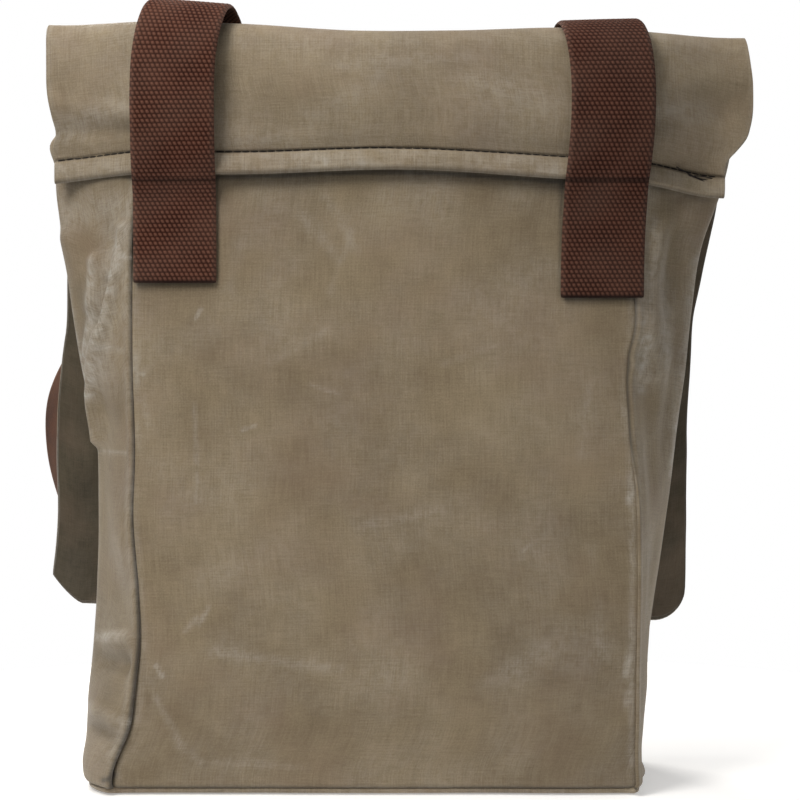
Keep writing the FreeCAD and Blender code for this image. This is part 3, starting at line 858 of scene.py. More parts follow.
def foot_ring(grids, inset):
    """The line where the walls meet the base, moved inward."""
    parts = []
    for name in ("back", "right", "front", "left"):
        foot = grids[name][0][3:-3, :2]
        if parts and np.linalg.norm(parts[-1][-1] - foot[0]) > np.linalg.norm(parts[-1][-1] - foot[-1]):
            foot = foot[::-1]
        parts.append(foot)
    ring = np.concatenate(parts + [parts[0][:1]])
    run = np.concatenate([[0], np.cumsum(np.linalg.norm(np.diff(ring, axis=0), axis=1))])
    even = np.linspace(0, run[-1], 420, endpoint=False)
    ring = np.stack([np.interp(even, run, ring[:, k]) for k in range(2)], 1)
    for _ in range(3 + int(8 * max(inset, 0))):
        ring = (np.roll(ring, 1, 0) + 2 * ring + np.roll(ring, -1, 0)) / 4
    after = np.roll(ring, -1, 0) - np.roll(ring, 1, 0)
    inward = np.stack([-after[:, 1], after[:, 0]], 1)
    inward /= np.linalg.norm(inward, axis=1, keepdims=True)
    toward = np.sign(np.sum(inward * (ring.mean(0) - ring)))
    return ring + inward * toward * inset


def loop_at(z, inset, per_side=40):
    """Points round the inside of the walls at a height, kept out of the gussets' narrow tips."""
    rear, face = BACK_Y + inset, float(front_y(z)) - inset
    tips = {side: float(crease_point(side, z)[0]) - side * 4.0 * inset for side in (-1, 1)}
    middle = (rear + face) / 2
    corners = [(float(seam_x(-1, z)) + inset, rear), (float(seam_x(1, z)) - inset, rear), (tips[1], middle),
               (HALF_WIDTH - inset, face), (-HALF_WIDTH + inset, face), (tips[-1], middle)]
    shares = np.linspace(0, 1, per_side, endpoint=False)[:, None]
    corners = np.array(corners + corners[:1])
    return np.concatenate([a + (b - a) * shares for a, b in zip(corners, corners[1:])])


def base_panel(grids):
    """The base: its rim rolls up to the panels' lower seam."""
    profile = [(2.2, SKIRT + 1.2), (1.0, SKIRT + 0.5), (0.0, SKIRT - 0.5), (-0.6, 2.2), (-0.4, 1.0),
               (0.8, 0.15), (3.0, 0.0)]
    rings = [stack(*foot_ring(grids, inset).T, z) for inset, z in profile]
    flat = rings[-1]
    centre = flat.mean(0)
    rings += [centre + (flat - centre) * share for share in (0.95, 0.75, 0.5, 0.25, 0.04)]
    points = np.array(rings)
    points = np.concatenate([points, points[:, :1]], 1)[:, ::-1]
    shade_and_soil = np.zeros(points.shape[:2])
    # The rows at the seam darker: partly dark thread, partly painted shade.
    shade_and_soil[:2] = 0.8
    wear = np.full(points.shape[:2], 0.12)
    wear[3:6] = 0.28
    piece = shell("base_panel_cloth", points, -1.0, 0.0, CANVAS, wear, shade_and_soil, closed=True,
                  grain=(points[..., 0] + 200, points[..., 1] + 200 + points[..., 2]))
    for vertex in piece.data.vertices:
        vertex.co.z = max(vertex.co.z, 0.0)
    stand_for(piece, "waxed_canvas", "bag", "base_panel")


# ---- the flap --------------------------------------------------------------------------

# The hem, its stitches and the crest along the width, then the flap's side edges up its height.
HEM_LINE = curve([(-170, -2.5), (-155, -0.8), (-117, 1.2), (-78, 0.8), (11, 3), (85, -1.4), (125, -3.7),
                  (160, -8.5), (178, -9)])
STITCH_LINE = curve([(-170, 11.5), (-155, 11.2), (-117, 11.4), (-78, 10.3), (-12, 12.4), (35, 10.8),
                     (85, 9.4), (125, 3.8), (160, -1.0), (178, -2)])
CREST_LINE = curve([(-170, 364), (-120, 363), (-75, 362), (-20, 358.7), (30, 358.8), (80, 360),
                    (120, 358), (178, 357.6)])
REAR_LEFT = curve([(278, 9.2), (297, 9.0), (306, 8.4), (310, 9.6), (320, 8.2), (330, 6.2), (345, 5.5),
                   (365, 4.6)])
REAR_RIGHT = curve([(278, -4.0), (290, -3.2), (299, -2.0), (304, 2.6), (309, 6.6), (315, 8.6), (334, 9.8),
                    (350, 8.4), (365, 7.0)])
FRONT_LEFT_EDGE = curve([(70, -6.0), (93, -5.4), (110, -2.7), (140, -0.7), (155, -0.9), (186, 1.0),
                         (213, 4.4), (220, 5.8), (245, 7.2), (300, 5.0), (345, 4.6)])
FRONT_RIGHT_EDGE = curve([(70, -10.3), (83, -10.3), (136, -11.6), (172, -12.2), (208, -11.3), (228, -10.4),
                          (244, -7.3), (264, -3.7), (300, 2.0), (345, 7.6)])
FLAP_EDGE_LEFT = 80.0       # height of the flap's lower edge at each side
FLAP_EDGE_RIGHT = 70.5
HEM_DEPTH = 10.4            # from the sewn hem's lower edge up to its stitches
# Slanted spans from the bag to the flap, placed to leave the flap's sewn hem and the webbing's tabs on the
# bag; pieces given one only have their transforms baked.
FLAP_BEND = {"start": (0, -0.0455, 0.350), "end": (0, -0.0134, 0.3555)}
WEBBING_BEND = {"start": (0, -0.0605, 0.350), "end": (0, -0.0148, 0.3578)}
FLAP_REAR_FOLDS = [(1.4, 5, [(-160, 326), (-118, 318)]), (-1.6, 5, [(-158, 312), (-118, 311)]),
                   (1.6, 7, [(122, 330), (166, 336)]), (-1.6, 7, [(122, 314), (158, 318)])]
FLAP_MARKS = [              # as BACK_MARKS, but measured along the flap from its hem
    (-139, 30, 34, 8, 6, 0.30), (-150, 22, 14, 4, 3, 0.2), (-24, 32, 24, 20, 5, 0.16),
    (60, 40, 40, -15, 5, 0.15), (136, 38, 34, 6, 5, 0.22), (10, 52, 60, 4, 3, 0.14),
    (-60, 16, 30, 2, 3, 0.14), (-2, 46, 12, 80, 3, 0.14),
]


def flap_section(x, side_share):
    """The flap's (y, z) path at one distance from the middle, from its hem to its lower edge."""
    ends = 16.0 * step(abs(x), 112, 160)
    hem = HEM_Z + float(HEM_LINE(x))
    stitch = HEM_Z + float(STITCH_LINE(x))
    crest = float(CREST_LINE(x))
    ripple = float(waves(np.array(x), np.array(0.0), 120, 41))
    mid = (stitch + crest) / 2
    rear_y = BACK_Y - 2.6 + ends
    lower = FLAP_EDGE_LEFT + (FLAP_EDGE_RIGHT - FLAP_EDGE_LEFT) * side_share
    reach = FLAP_HALF * 2 * min(side_share, 1 - side_share)
    if side_share < 0.5:
        lower += 15.0 * max(0.0, 1 - reach / 15.0) ** 1.3
    else:
        lower += 17.0 - math.sqrt(17.0 ** 2 - max(0.0, 17.0 - reach) ** 2)
    knots = [(rear_y - 1.3, hem), (rear_y - 1.2, hem + 4), (rear_y + 0.3, stitch),
             (rear_y - 1.8 - 0.9 * ripple, stitch + 8), (rear_y - 2.9 - 1.1 * ripple, mid + 6),
             (rear_y - 1.6, crest - 13)]
    front_top = -6.6
    for share, drop in ((0.03, 5.0), (0.14, 1.6), (0.36, 0.8), (0.62, 1.4), (0.86, 5.5)):
        knots.append((rear_y + (front_top - rear_y) * share, crest - drop))
    knots.append((front_top, crest - 14))
    wander = curve([(60, 6.0 + 2.0 * ripple), (120, 5.2 - 1.2 * ripple), (200, 4.0), (270, 3.5), (345, 4.2)])
    for z in np.linspace(crest - 26, lower, 12):
        knots.append(on_front(float(wander(z)), z / math.cos(SLOPE)))
    return np.array(knots)


def resample(points, places):
    """A smooth curve through knots, cut at even lengths or at the given lengths from its start."""
    gaps = np.linalg.norm(np.diff(points, axis=0), axis=1)
    run = np.concatenate([[0], np.cumsum(gaps)])
    fine = np.linspace(0, run[-1], 900)
    smooth = np.stack([curve(list(zip(run, points[:, k])))(fine) for k in range(points.shape[1])], 1)
    gaps = np.linalg.norm(np.diff(smooth, axis=0), axis=1)
    length = np.concatenate([[0], np.cumsum(gaps)])
    if np.ndim(places) == 0:
        places = np.linspace(0, length[-1], places)
    else:
        places = np.asarray(places) / places[-1] * length[-1]
    return np.stack([np.interp(places, length, smooth[:, k]) for k in range(points.shape[1])], 1)


def flap_places():
    """Lengths along the flap at which it is cut into rows: fine at the sewn hem."""
    hem = np.linspace(0, 18, 37)[:-1]
    return np.concatenate([hem, np.linspace(18, 390, 212)])


def flap_grid():
    """Points of the flap's inner face."""
    places = flap_places()
    shares = spread(2 * FLAP_HALF, 1.9) / (2 * FLAP_HALF)
    points = np.zeros((len(places), len(shares), 3))
    order = np.arange(len(places))
    for j, share in enumerate(shares):
        nominal = -FLAP_HALF + 2 * FLAP_HALF * share
        path = resample(flap_section(nominal, share), places)
        y, z = path[:, 0], path[:, 1]
        crest_row = int(np.argmax(z))
        behind = 1 - step(order, crest_row - 12, crest_row + 12)
        left = REAR_LEFT(z) * behind + FRONT_LEFT_EDGE(z) * (1 - behind)
        right = REAR_RIGHT(z) * behind + FRONT_RIGHT_EDGE(z) * (1 - behind)
        x = nominal + left * (1 - share) + right * share
        points[:, j] = np.stack([x, y, z], 1)
    return points


def flap_wrinkles(points):
    """Soft folds of the flap, growing towards its free edges."""
    x, z = points[..., 0], points[..., 2]
    run = flap_places()[:, None]
    front = step(run, 130, 160)
    edge = step(np.abs(x), 118, 160)
    lift = front * (1.2 * waves(x, z, 85, 51) + 1.6 * edge * waves(x, z * 1.4, 60, 52))
    rear = 1 - step(run, 52, 72)
    lift += rear * (step(run, 13, 24) * 0.6 * waves(x, z, 45, 53) + lines(x, z, FLAP_REAR_FOLDS))
    strapped = front * (1 - step(np.abs(np.abs(x) - STRAP_X), 20, 32)) * step(z, 236, 256)
    lift = lift * (1 - 0.95 * strapped) - 0.25 * strapped
    left_run = [(-100, 270), (-120, 238), (-150, 208), (-166, 175), (-166, 140), (-142, 80)]
    left_path = near_line(x, z, left_run, 20)
    lift -= front * left_path * np.clip(lift - 0.4, 0, None)
    right_path = near_line(x, z, [(100, 262), (96, 205), (84, 130), (67, 50)], 19)
    lift -= front * right_path * (np.clip(lift, 0, None) + 1.7 * (1 - step(z, 120, 190)))
    return lift


def flap():
    points = flap_grid()
    points = points + grid_normals(points) * flap_wrinkles(points)[..., None]
    x, y, z = points[..., 0], points[..., 1], points[..., 2]
    run = arc_lengths(points, 0)
    left = run[-1:] - run
    across = arc_lengths(points, 1)
    side = np.minimum(across, across[:, -1:] - across)
    rim = np.minimum(np.minimum(side, left), run)
    puff = 1.2 * step(run, -0.6, 1.6) * (1 - step(run, HEM_DEPTH - 2.6, HEM_DEPTH - 0.3))
    relief = puff - 0.75 * bell(run, HEM_DEPTH, 0.9)
    relief += 0.25 * waves(x, run, 16, 63) * step(run, 1, 4) * (1 - step(run, 8, 10))
    relief -= 0.45 * step(run, 120, 150) * (bell(side, 7.0, 1.0) * step(left, 5, 7)
                                            + bell(left, 7.0, 1.0) * step(side, 5, 7))
    wear = 0.16 * bell(rim, 1.0, 1.2) + 0.15 + 0.10 * waves(x, run, 60, 61)
    wear += 0.24 * step(run, 1, 2) * (1 - step(run, 7, 9)) * (0.7 + 0.5 * waves(x, run, 12, 64))
    rubbed_top = near_line(y, z, [(-50, 352), (-44, 361), (-30, 362)], 4)
    wear += 0.16 * rubbed_top * (0.6 + 0.5 * waves(x, run, 30, 62))
    wear += scratches(x, run, FLAP_MARKS)
    # Painted shade in the stitched crease, and painted shadow at the hem's lower edge.
    shade_and_soil = 0.45 * bell(run, HEM_DEPTH, 0.8) + 0.5 * bell(run, 0, 0.5)
    bend = step(y, -48, -42) * (1 - step(y, -10, -5)) * step(z, 340, 346) * step(side, 2, 14)
    # The near face is darkened as painted shade under the flap.
    cloth = shell("flap_cloth", points, 0.0, CLOTH + 0.1, CANVAS, wear, shade_and_soil, relief=relief, near_face_shade=0.85,
                  near_relief=1.4 * bend)
    past_fold = (y.min(1) > -8.0) & (np.arange(len(y)) > np.argmax(z.mean(1)))
    lining = shell("flap_lining_cloth", points[int(np.argmax(past_fold)):-1, 2:-2], -0.9, -0.05, SHADE_DARKENED_LINING, 0.2)
    stand_for(cloth, "waxed_canvas", FLAP_BEND, "flap_front", "flap_back")
    stand_for(lining, "lining_canvas", FLAP_BEND, "flap_lining")
    return points


# ---- webbing straps --------------------------------------------------------------------

WEBBING_GAP = 0.55          # between the points of the webbing's mesh
# Middle of each strap from its sewn tab to the front of the flap: x from the strap's own middle, y and z.
WEBBING_ROUTES = {
    "left": [(2.3, -50.2, 240.5), (2.3, -50.0, 256), (2.2, -50.0, 270), (2.2, -50.6, 280),
             (2.2, -53.6, 286.5), (2.3, -58.4, 296), (2.4, -62.2, 310), (2.4, -64.0, 327),
             (3.2, -64.0, 344), (5.2, -61.0, 358),
             (7.6, -53.5, 368), (9.4, -42.5, 372.2), (10.6, -28.0, 371.6), (11.6, -14.0, 367.6),
             (11.4, -4.6, 358), (8.0, -1.8, 342), (4.0, -1.6, 324)],
    "right": [(2.4, -50.2, 233.5), (2.6, -50.0, 250), (3.2, -50.0, 266), (3.8, -50.6, 276),
              (4.0, -54.0, 284.5), (4.8, -58.4, 294), (5.8, -62.0, 307), (6.4, -63.8, 323),
              (5.8, -63.6, 339), (4.2, -60.4, 352),
              (2.4, -52.5, 360.2), (1.2, -41.5, 363.6), (0.6, -28.0, 363.2), (0.2, -14.0, 360.0),
              (0.0, -4.8, 351), (0.0, -1.8, 338), (0.0, -1.6, 322)],
}
WEBBING_TILT = {"left": curve([(0, 0), (95, 0), (150, -3.0), (175, -2.6), (230, 0)]),
                "right": curve([(0, 0), (95, 0), (150, 1.1), (175, 1.0), (230, 0)])}


def weave_relief(across, along):
    """Height of the webbing's yarns."""
    row = np.floor(along / ROW)
    v = np.mod(along / ROW, 1)
    u = across / YARN + 0.5 * np.mod(row, 2) + YARN_SLANT * (v - 0.5)
    return np.sin(math.pi * np.mod(u, 1)) * np.sin(math.pi * v) ** 0.7


def punch_holes(piece, centre, direction, radius):
    """Cuts a round hole through a strap."""
    sides = 20
    side = direction.orthogonal().normalized()
    other = direction.cross(side)
    vertices = []
    for reach in (-4 * MM, 4 * MM):
        for k in range(sides):
            turn = 2 * math.pi * k / sides
            spoke = side * math.cos(turn) + other * math.sin(turn)
            vertices.append(centre + direction * reach + spoke * radius * MM)
    faces = []
    for k in range(sides):
        n = (k + 1) % sides
        faces.append((k, n, sides + n, sides + k))
    faces.append(tuple(range(sides))[::-1])
    faces.append(tuple(range(sides, 2 * sides)))
    mesh = bpy.data.meshes.new("punch")
    mesh.from_pydata([tuple(v) for v in vertices], [], faces)
    punch = bpy.data.objects.new("punch", mesh)
    bpy.context.scene.collection.objects.link(punch)
    cut = piece.modifiers.new("holes", "BOOLEAN")
    cut.operation = "DIFFERENCE"
    cut.object = punch
    cut.solver = "EXACT"
    bpy.context.view_layer.update()
    holed = bpy.data.meshes.new_from_object(piece.evaluated_get(bpy.context.evaluated_depsgraph_get()))
    piece.modifiers.clear()
    piece.data = holed
    bpy.data.objects.remove(punch)


def webbing(name, side):
    route = np.array(WEBBING_ROUTES[name])
    front = [on_front(6.1, v) for v in (312.0, 300.0, 288.0, 271.5)]
    route = np.concatenate([route, [(0.0, y, z) for y, z in front]])
    route[:, 0] += side * STRAP_X
    length = np.sum(np.linalg.norm(np.diff(route, axis=0), axis=1))
    middle = resample(route, int(length / WEBBING_GAP))
    across = np.linspace(-0.5, 0.5, int(WEBBING_WIDTH / WEBBING_GAP) + 1) * (WEBBING_WIDTH - 0.4)
    run = arc_lengths(middle[:, None], 0)
    tilt = WEBBING_TILT[name](run)
    points = middle[:, None] + stack(across, 0 * run, tilt * across / WEBBING_WIDTH)
    cup = 0.5 * (2 * across / WEBBING_WIDTH) ** 2 * step(run, 60, 90)
    points[..., 1] += cup * step(points[..., 2], 290, 300) * (1 - step(run, 190, 210))
    along = run + 0 * across
    wide = across + WEBBING_WIDTH / 2 + 0 * run
    edge = WEBBING_WIDTH / 2 - np.abs(across) + 0 * run
    # Where the strap folds over the hem's lower edge: a dent, and painted shade.
    over_hem_fold = bell(points[..., 2] - HEM_Z, -2.5, 1.3) * (points[..., 1] < -45)
    relief = 0.30 * weave_relief(wide, along) * step(edge, 0, 1.4) - 0.5 * over_hem_fold
    relief -= 0.5 * (1 - step(edge, 0, 1.6))
    wear = 0.14 + 0.12 * waves(wide, along, 26, 71 + side) + 0.30 * (1 - step(edge, 0.5, 2.5))
    # Painted shade at the fold over the hem and at the tab's folded end, and over the whole right strap where
    # the light falls off.
    shade_and_soil = 0.65 * over_hem_fold + 0.5 * bell(along, 0, 1.5) + 0.12 * (1 + side)
    piece = shell(name + "_webbing", points, -1.0, 1.0, WEBBING, wear, shade_and_soil, relief=relief,
                  grain=(wide, along))
    stand_for(piece, "webbing", WEBBING_BEND, name + "_webbing_rear", name + "_webbing_front")
    return points


# ---- leather straps --------------------------------------------------------------------

STRAP_LEATHER = 2.2         # thickness of the closing straps
STRAP_WIDTH = 25.0
FLAP_FACE = 5.3             # from the front panel out to the flap's outer face
HOLES = 3
FIRST_HOLE = 24             # from the strap's tip
HOLE_PITCH = 16
HOLE_RADIUS = 2.1
# Each strap from its rivets to its tip: across, up the front, clear of the flap, and turn in degrees.
LEATHER_ROUTES = {
    "left": [(0, 272, 0, 0), (-3, 258, 0.2, 8), (-17, 240, 1.0, 26), (-38, 222, 2.0, 44), (-57, 203, 2.5, 56),
             (-68, 181, 2.5, 61), (-69, 157, 2.5, 61), (-63, 130, 2.4, 60), (-52, 104, 2.4, 58),
             (-41, 80, 2.2, 56), (-39, 58, 1.8, 54), (-42, 34, 1.5, 50)],
    "right": [(0, 272, 0, 0), (-1, 245, 0.2, 0), (-5, 205, 0.6, 2), (-13, 155, 0.8, 4), (-21, 112, 1.0, 3),
              (-27, 82, 0.8, 1), (-31, 55, 0.2, 0), (-33, 24, 0.2, 0)],
}


def tip_share(run, length, width):
    """How much of its width a strap keeps near its pointed end."""
    back = 1 - np.clip((length - run) / (width * 0.62), 0, 1)
    return np.clip(np.sqrt(1 - back ** 2), 0.06, 1)


def unit(rows):
    return rows / np.linalg.norm(rows, axis=1, keepdims=True)


def leather_strap(name, side):
    """A closing strap from under the webbing's end: edges creased, end pointed, holes punched."""
    route = []
    for across, v, clear, turn in LEATHER_ROUTES[name]:
        on_edge = math.sin(math.radians(turn)) * STRAP_WIDTH / 2
        y, z = on_front(FLAP_FACE + STRAP_LEATHER / 2 + clear + on_edge, v)
        route.append((side * STRAP_X + across, y, z, turn))
    route = np.array(route)
    length = np.sum(np.linalg.norm(np.diff(route[:, :3], axis=0), axis=1))
    middle = resample(route, int(length / 1.1))
    centre = middle[:, :3]
    run = np.concatenate([[0], np.cumsum(np.linalg.norm(np.diff(centre, axis=0), axis=1))])
    tangent = unit(np.gradient(centre, axis=0))
    flat = unit(np.cross(np.array([0, math.cos(SLOPE), math.sin(SLOPE)]), tangent))
    normal = np.cross(tangent, flat)
    angle = np.radians(middle[:, 3])[:, None]
    wide = flat * np.cos(angle) + normal * np.sin(angle)
    face = normal * np.cos(angle) - flat * np.sin(angle)
    width = (STRAP_WIDTH * tip_share(run, run[-1], STRAP_WIDTH))[:, None]
    columns = np.linspace(-0.5, 0.5, 27)
    points = centre[:, None] + wide[:, None] * (columns * width)[..., None]
    edge = (0.5 - np.abs(columns)) * width
    along = run[:, None] + 0 * edge
    groove = bell(edge, 2.6, 0.45)
    relief = -0.28 * groove - 0.45 * (1 - step(edge, 0, 1.0)) + 0.1 * waves(along, edge, 22, 81)
    wear = 0.75 * (1 - step(edge, 0.2, 1.6)) + 0.15 + 0.2 * waves(along, edge * 2, 30, 82 + side)
    shade_and_soil = 0.4 * groove
    places = [run[-1] - FIRST_HOLE - HOLE_PITCH * k for k in range(HOLES)]
    for place in places:
        away = np.hypot(along - place, STRAP_WIDTH / 2 - edge)
        shade_and_soil = shade_and_soil + 0.7 * bell(away, 0, 3.2)
        wear = wear + 0.3 * bell(away, 3.6, 0.8)
    piece = shell(name + "_closing_strap", points[:, ::-1], -STRAP_LEATHER / 2, STRAP_LEATHER / 2, LEATHER,
                  wear, shade_and_soil, relief=relief)
    for place in places:
        row = int(np.argmin(np.abs(run - place)))
        punch_holes(piece, Vector(centre[row] * MM), Vector(face[row]).normalized(), HOLE_RADIUS)
    stand_for(piece, "strap_leather", name + "_strap", name + "_leather_strap")


# ---- leather and metal of the buckles --------------------------------------------------

def recolour(node, material):
    """Gives a carried-over CAD node its material."""
    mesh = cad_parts[node].data
    mesh.materials.clear()
    mesh.materials.append(material)
    mesh.shade_smooth()
    mesh.set_sharp_from_angle(angle=math.radians(35))


def stand_in_for_cad(name, node, material, slot, body, bevel=0.35):
    """A copy of a CAD node with softened edges and its own grain, for small leather pieces."""
    piece = bpy.data.objects.new(name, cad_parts[node].data.copy())
    bpy.context.scene.collection.objects.link(piece)
    piece.data.materials.clear()
    piece.data.materials.append(material)
    places = np.array([v.co for v in piece.data.vertices])
    set_attribute(piece.data, "cloth", "FLOAT_VECTOR", places + 1.0)
    set_attribute(piece.data, "wear", "FLOAT", np.full(len(places), 0.25))
    set_attribute(piece.data, "shade_and_soil", "FLOAT", np.zeros(len(places)))
    soften = piece.modifiers.new("soften", "BEVEL")
    soften.width = bevel * MM
    soften.segments = 2
    soften.limit_method = "ANGLE"
    piece.data.shade_smooth()
    stand_for(piece, slot, body, node)


def hardware():
    for name in SIDES:
        for part in ("frame", "roller", "prong"):
            recolour(name + "_buckle_" + part, BRASS)
        for part in ("buckle_tab", "keeper"):
            node = name + "_" + part
            stand_in_for_cad(node + "_leather", node, LEATHER, "strap_leather", "bag")
    for node, material in (("buckle_tab_rivets", BRASS), ("strap_rivets", BRASS), ("base_board", BOARD),
                           ("back_board", BOARD)):
        recolour(node, material)


def band(name, loops, heights, half, material, wear):
    """A closed band round the inside of the walls, through one loop at each height."""
    points = np.array([stack(loop[:, 0], loop[:, 1], z) for loop, z in zip(loops, heights)])
    points = np.concatenate([points, points[:, :1]], 1)
    return shell(name, points, -half, half, material, wear, closed=True)


# ---- inside the bag --------------------------------------------------------------------

def inside():
    """Facing, seam tapes, board sleeve and pocket."""
    heights = np.linspace(BODY_TOP - 26, BODY_TOP - 0.5, 12)
    loops = [loop_at(z, CLOTH + 1.0) for z in heights]
    facing = band("mouth_facing_band", loops, heights, 0.7, CANVAS, 0.3)
    stand_for(facing, "waxed_canvas", "bag", "mouth_facing")
    heights = np.linspace(SKIRT, 9.4, 5)
    loops = [loop_at(4.0, CLOTH + 1.6 + 0.5 * math.sin(z)) for z in heights]
    tape = band("base_seam_tape", loops, heights, 0.8, TAPE, 0.1)
    stand_for(tape, "cotton_tape", "bag", "base_seam_binding")
    z = np.linspace(11.8, BODY_TOP - 27, 150)[:, None]
    q = np.linspace(0, 1, 7)[None, :]
    for corner in ("back_left", "back_right", "front_left", "front_right"):
        node = "seam_binding_" + corner
        side = -1 if "left" in corner else 1
        back = corner.startswith("back")
        x0 = seam_x(side, z) if back else side * HALF_WIDTH
        y0 = BACK_Y + 2.0 if back else front_y(z) - 2.0
        x = x0 - side * (1.2 + 3.2 * q) + 0.3 * waves(z, q, 40, 91)
        y = y0 + (1 if back else -1) * (0.8 + 7.2 * q) + 0.4 * waves(z, q, 30, 92)
        tape = shell(node + "_tape", stack(x, y, z), -0.7, 0.7, TAPE, 0.2)
        stand_for(tape, "cotton_tape", "bag", node)
    stand_for(board_sleeve(), "lining_canvas", "bag", "back_board_sleeve")
    stand_for(pocket(), "lining_canvas", "bag", "inner_pocket")


def board_sleeve():
    low, high = box_mm("back_board_sleeve")
    down, across = grid(150, 106)
    x = high[0] + (low[0] - high[0]) * across
    z = low[2] + (high[2] - low[2]) * down
    edge = np.minimum(np.minimum(x - low[0], high[0] - x), np.minimum(z - low[2], high[2] - z))
    y = high[1] - 0.4 - 1.7 * (1 - step(edge, 0, 3.5)) + 0.25 * waves(x, z, 50, 95) * step(edge, 2, 20)
    shade_and_soil = 0.4 * bell(edge, 4.5, 0.8)
    return shell("board_sleeve_cloth", stack(x, y, z), -0.4, 0.4, SHADE_DARKENED_LINING, 0.25, shade_and_soil)


def pocket():
    low, high = box_mm("inner_pocket")
    down, across = grid(90, 96)
    x = high[0] + (low[0] - high[0]) * across
    z = low[2] + (high[2] - low[2]) * down
    edge = np.minimum(np.minimum(x - low[0], high[0] - x), z - low[2])
    gape = 1.5 * step(z, low[2] + 60, high[2]) * (1 - (2 * across - 1) ** 2)
    y = low[1] + 0.8 + (high[1] - low[1] - 3.2) * step(edge, 0, 12) + gape
    y += 0.5 * waves(x, z, 45, 96) * step(edge, 2, 14)
    hem = 0.5 * step(z, high[2] - 16, high[2] - 15)
    shade_and_soil = 0.5 * bell(z, high[2] - 15, 0.8)
    return shell("inner_pocket_cloth", stack(x, y, z), -0.5, 0.5, SHADE_DARKENED_LINING, 0.3, shade_and_soil, relief=hem)


# ---- stitching -------------------------------------------------------------------------

def stitch_row(name, route, normals, body, pitch=4.2, length=3.1, radius=0.34):
    """Separate stitches along a route, each one an arch of thread that dips into the cloth."""
    gaps = np.linalg.norm(np.diff(route, axis=0), axis=1)
    run = np.concatenate([[0], np.cumsum(gaps)])
    pick = np.random.RandomState(len(route))
    vertices, faces = [], []
    rings, sides = 7, 6
    for start in np.arange(0.5, run[-1] - length, pitch):
        start = start + pick.uniform(-0.15, 0.15)
        share = np.linspace(0, 1, rings)
        at = start + share * length
        centre = np.stack([np.interp(at, run, route[:, k]) for k in range(3)], 1)
        up = np.stack([np.interp(at, run, normals[:, k]) for k in range(3)], 1)
        centre = centre + up * (radius * 1.5 * np.sin(math.pi * share) ** 0.6 - radius * 0.9)[:, None]
        along = np.gradient(centre, axis=0)
        along /= np.linalg.norm(along, axis=1, keepdims=True)
        side = np.cross(along, up)
        side /= np.linalg.norm(side, axis=1, keepdims=True)
        rise = np.cross(side, along)
        thick = radius * (0.45 + 0.55 * np.sin(math.pi * np.clip(share, 0.06, 0.94)) ** 0.4)
        first = len(vertices) * rings * sides
        turns = np.linspace(0, 2 * math.pi, sides, endpoint=False)
        body_points = centre[:, None] + thick[:, None, None] * (
            side[:, None] * np.cos(turns)[None, :, None] + rise[:, None] * np.sin(turns)[None, :, None])
        vertices.append(body_points.reshape(-1, 3))
        for i in range(rings - 1):
            for j in range(sides):
                a, b = first + i * sides + j, first + i * sides + (j + 1) % sides
                faces.append((a, b, b + sides, a + sides))
        faces.append(tuple(first + j for j in range(sides))[::-1])
        faces.append(tuple(first + (rings - 1) * sides + j for j in range(sides)))
    piece = make_piece(name, np.concatenate(vertices), faces, BLACK_THREAD, 80)
    attach(piece, body)


def flap_stitching(points):
    """The seam that holds the flap on, and the stitched hem round its free edges."""
    normals = grid_normals(points)
    run = arc_lengths(points, 0)
    route, ups = [], []
    for j in range(2, points.shape[1] - 2):
        i = int(np.argmin(np.abs(run[:, j] - HEM_DEPTH)))
        route.append(points[i, j] + normals[i, j] * (CLOTH - 0.45))
        ups.append(normals[i, j])
    stitch_row("flap_seam_stitches", np.array(route), np.array(ups), FLAP_BEND, pitch=4.0, length=3.5,
               radius=0.30)
    first = int(np.argmax(points[..., 2].mean(1))) + 8
    side, foot = 8, 4
    down = [(i, side) for i in range(first, points.shape[0] - foot)]
    along = [(points.shape[0] - 1 - foot, j) for j in range(side, points.shape[1] - side)]
    up = [(i, points.shape[1] - 1 - side) for i in range(points.shape[0] - 1 - foot, first, -1)]
    for label, cells in (("left", down), ("lower", along), ("right", up)):
        rows = np.array([c[0] for c in cells])
        columns = np.array([c[1] for c in cells])
        ups = normals[rows, columns]
        stitch_row("flap_hem_stitches_" + label, points[rows, columns] + ups * (CLOTH - 0.2), ups, "flap",
                   pitch=3.8, length=3.0, radius=0.3)


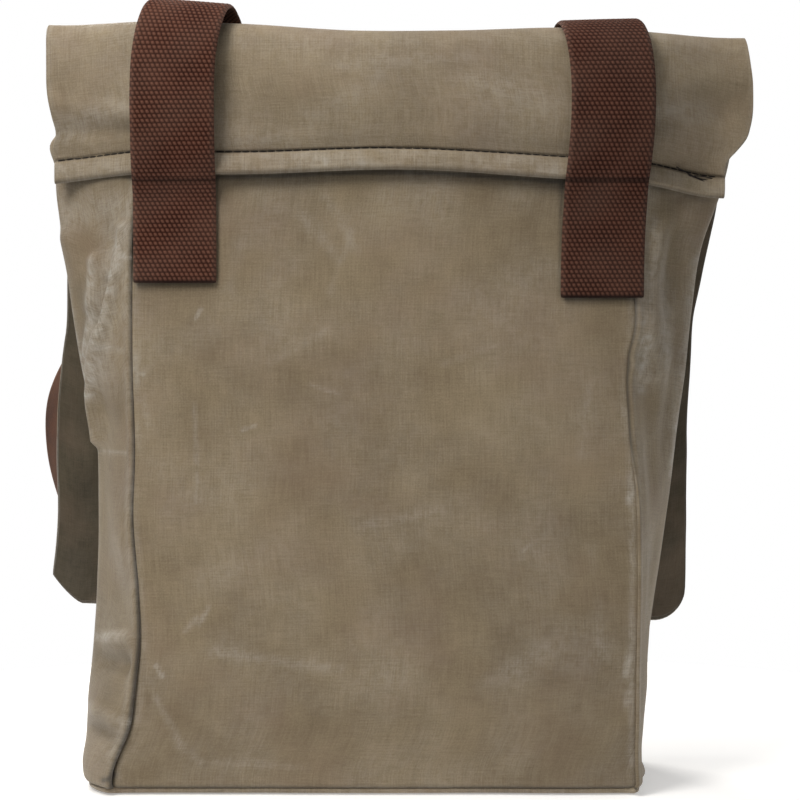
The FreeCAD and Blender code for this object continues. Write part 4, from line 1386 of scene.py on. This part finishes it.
def backtack():
    """Loose thread ends where the flap's seam is finished at the right."""
    knots = [[(138, 0.4, 3.0), (141, 1.0, 2.0), (146, 1.2, 0.4), (151, 0.8, -0.6), (156.5, 0.2, -0.2)],
             [(142, 0.4, -0.6), (146, 0.8, 0.4), (151, 1.0, 1.2), (156, 0.6, 0.8)],
             [(144, 1.0, 0.6), (149, 1.2, -0.4), (153, 0.8, -1.6), (157, 0.2, -2.0)]]
    for number, points in enumerate(knots):
        line = bpy.data.curves.new("backtack_thread_%d" % number, "CURVE")
        line.dimensions = "3D"
        line.bevel_depth = 0.27 * MM
        line.bevel_resolution = 2
        spline = line.splines.new("NURBS")
        spline.points.add(len(points) - 1)
        for target, (x, out, rise) in zip(spline.points, points):
            ends = 16.0 * float(step(x, 112, 160))
            y = BACK_Y - 4.0 + ends - out
            z = HEM_Z + float(STITCH_LINE(x)) + rise
            target.co = (x * MM, y * MM, z * MM, 1)
        spline.order_u = 3
        spline.use_endpoint_u = True
        line.materials.append(BLACK_THREAD)
        piece = bpy.data.objects.new(line.name, line)
        bpy.context.scene.collection.objects.link(piece)
        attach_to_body(piece, "bag")


def box_stitch(name, points, first, last, inset, body):
    """A stitched box with a cross in it, on a stretch of strap."""
    normals = grid_normals(points)
    low, high = inset, points.shape[1] - 1 - inset
    corners = [(first, low), (first, high), (last, high), (last, low), (first, low), (last, high),
               (last, low), (first, high)]
    order = [(0, 1), (1, 2), (2, 3), (3, 4), (4, 5), (6, 7)]
    for number, (a, b) in enumerate(order):
        rows, columns = np.linspace(corners[a], corners[b], 40).round().astype(int).T
        ups = normals[rows, columns]
        stitch_row("%s_%d" % (name, number), points[rows, columns] + ups * 1.25, ups, body, pitch=3.2,
                   length=2.5, radius=0.3)


# ---- everything ------------------------------------------------------------------------

camera()
studio()
floor()
wall_grids = body_panels()
base_panel(wall_grids)
flap_points = flap()
flap_stitching(flap_points)
backtack()
for side_name, side_sign in SIDES.items():
    strap_points = webbing(side_name, side_sign)
    total_rows = strap_points.shape[0]
    box_stitch(side_name + "_strap_box", strap_points, total_rows - 66, total_rows - 30, 8, "flap")
    leather_strap(side_name, side_sign)
hardware()
inside()
